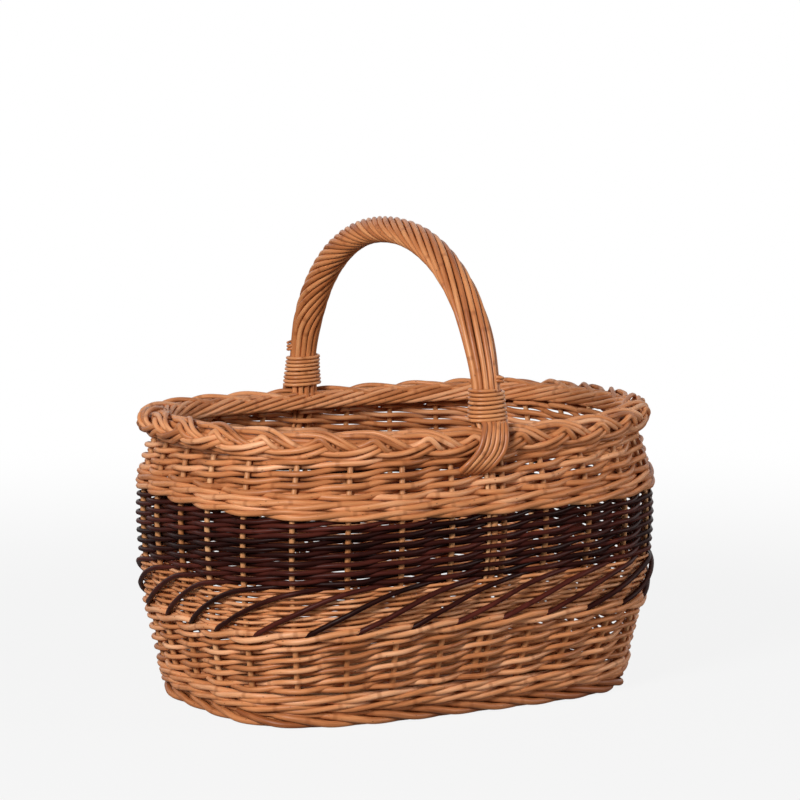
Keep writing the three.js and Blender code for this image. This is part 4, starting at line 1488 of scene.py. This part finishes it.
@dataclass
class Basket:
    """The whole basket."""

    wall: Wall = field(default_factory=Wall)

    def build(self) -> None:
        """Weave the basket from the base up."""
        wall = self.wall
        for part in (
            Base(),
            FootBorder(),
            Stakes(wall),
            Wale(node="upsett_wale", wall=wall, rows=(17.6, 25.4), rise=4.2, diameter=4.9, stand=4.9,
                 seed=11),
            Randing(node="lower_randing", wall=wall, bottom=33.4, pitch=9.5, passes=5, diameter=4.3,
                    stand=4.9, seed=12),
            Wale(node="waist_wale", wall=wall, rows=(81.0,), rise=6.6, diameter=5.3, stand=5.2, seed=13),
            Randing(node="fine_randing", wall=wall, bottom=87.6, pitch=4.75, passes=8, diameter=3.0,
                    stand=4.0, unevenness=0.35, sides=6, seed=14),
            SweptRanding(node="dark_randing", wall=wall, bottom=127.6, pitch=7.8, passes=7, diameter=4.3,
                         stand=4.4, unevenness=0.35, finish=DARK, seed=15),
            Wale(node="upper_wale", wall=wall, rows=(183.6, 191.4), rise=4.6, diameter=5.3, stand=5.1,
                 seed=16),
            Randing(node="upper_randing", wall=wall, bottom=197.8, pitch=9.2, passes=4, diameter=4.9,
                    stand=5.1, seed=17),
            Rim(wall),
            Handle(wall),
        ):
            part.build()


@dataclass(frozen=True)
class StudioFloor(Finish):
    """Pale floor that shows as white, keeps the basket's shadow and fades into the background."""

    name: str = "studio_floor"
    colour: Colour = (0.40, 0.40, 0.40)
    shadow_share: float = 0.12
    fade: tuple[float, float] = (0.5, 1.7)

    def paint(self, graph: Graph) -> None:
        """Add the nodes of the floor.

        Args:
            graph: Empty graph of the material.
        """
        place = graph.node("TexCoord", output="Object")
        far = graph.node("VectorMath", {0: place}, "Value", operation="LENGTH").between(*self.fade)
        seen = graph.node("LightPath", output="Is Camera Ray")
        white = graph.node("Emission", {"Color": WHITE, "Strength": 1.0})
        matt = graph.node("BsdfDiffuse", {"Color": (*self.colour, 1.0)})
        share = seen * ((1.0 - self.shadow_share) + far * self.shadow_share)
        shader = graph.node("MixShader", {0: share, 1: matt, 2: white})
        graph.node("OutputMaterial", {"Surface": shader})


@dataclass(frozen=True)
class Lamp:
    """Soft square lamp that faces the basket: its name, place and size in metres, and power in watts."""

    name: str
    place: tuple[float, float, float]
    size: float
    power: float

    TARGET = (0.0, 0.0, 0.15)

    def hang(self) -> None:
        """Hang the lamp."""
        lamp = bpy.data.lights.new(self.name, "AREA")
        lamp.size = self.size
        lamp.energy = self.power
        holder = bpy.data.objects.new(self.name, lamp)
        holder.location = self.place
        toward = Vector(self.TARGET) - Vector(self.place)
        holder.rotation_euler = toward.to_track_quat("-Z", "Y").to_euler()
        bpy.context.scene.collection.objects.link(holder)


@dataclass
class Studio:
    """Floor, white surroundings, soft lamps and the camera."""

    azimuth: float = -30.67
    elevation: float = 8.26
    distance: float = 3.04785
    target: tuple[float, float, float] = (0.0, 0.0, 0.17724)
    focal_pixels: float = 3511.25
    picture: int = 800
    axis_pixels: tuple[float, float] = (395.6, 487.2)
    sensor: float = 36.0
    farthest: float = 50.0
    ambient: float = 0.06
    floor_size: float = 24.0
    lamps: tuple[Lamp, ...] = (
        Lamp("key_lamp", (-2.65, -1.7, 1.6), 0.9, 117.0),
        Lamp("fill_lamp", (2.5, -1.9, 1.0), 1.4, 34.0),
        Lamp("top_lamp", (0.4, 1.2, 2.4), 1.4, 3.0),
    )

    def build(self) -> None:
        """Set up the studio."""
        self.lay_floor()
        self.light_world()
        for lamp in self.lamps:
            lamp.hang()
        self.place_camera()

    def lay_floor(self) -> None:
        """Lay a wide floor under the basket."""
        bpy.ops.object.select_all(action="DESELECT")
        bpy.ops.mesh.primitive_plane_add(size=self.floor_size, location=(0.0, 0.0, 0.0))
        floor = bpy.context.object
        floor.name = "studio_floor"
        floor.data.materials.append(StudioFloor().material())
        floor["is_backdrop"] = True

    def light_world(self) -> None:
        """Make the surroundings white to look at and plainly bright to be lit by."""
        world = bpy.data.worlds.new("studio_world")
        bpy.context.scene.world = world
        world.use_nodes = True
        graph = Graph(world.node_tree)
        path = graph.node("LightPath", output="Is Camera Ray")
        seen = path + path.other("Is Glossy Ray") + path.other("Is Transmission Ray")
        lit = graph.node("Background", {"Color": WHITE, "Strength": self.ambient})
        white = graph.node("Background", {"Color": WHITE, "Strength": 1.0})
        shader = graph.node("MixShader", {0: seen, 1: lit, 2: white})
        graph.node("OutputWorld", {"Surface": shader})

    def place_camera(self) -> None:
        """Place the camera at the photograph's angle."""
        turn, tilt = math.radians(self.azimuth), math.radians(self.elevation)
        back = Vector((math.sin(turn) * math.cos(tilt), -math.cos(turn) * math.cos(tilt), math.sin(tilt)))
        data = bpy.data.cameras.new("camera")
        data.sensor_width = self.sensor
        data.lens = self.focal_pixels / self.picture * data.sensor_width
        data.shift_x = (self.picture / 2 - self.axis_pixels[0]) / self.picture
        data.shift_y = (self.axis_pixels[1] - self.picture / 2) / self.picture
        data.clip_end = self.farthest
        camera = bpy.data.objects.new("camera", data)
        camera.location = Vector(self.target) + back * self.distance
        camera.rotation_euler = (-back).to_track_quat("-Z", "Y").to_euler()
        bpy.context.scene.collection.objects.link(camera)
        bpy.context.scene.camera = camera


def write_sizes(before: Any, after: Any) -> None:
    """Gather the boxes of the solids and of the finished pieces into plain lists.

    Args:
        before: Box of the solids.
        after: Box of the finished pieces.
    """
    plain = {name: [[float(v) for v in corner] for corner in box]
             for name, box in (("solids", before), ("pieces", after))}


def main() -> None:
    """Build the basket and the studio."""
    logging.basicConfig(level=logging.INFO, format="%(name)s: %(message)s")
    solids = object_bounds()
    Basket().build()
    Studio().build()
    bpy.context.scene.view_settings.view_transform = "Standard"
    write_sizes(solids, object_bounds())


if __name__ == "__main__":
    main()
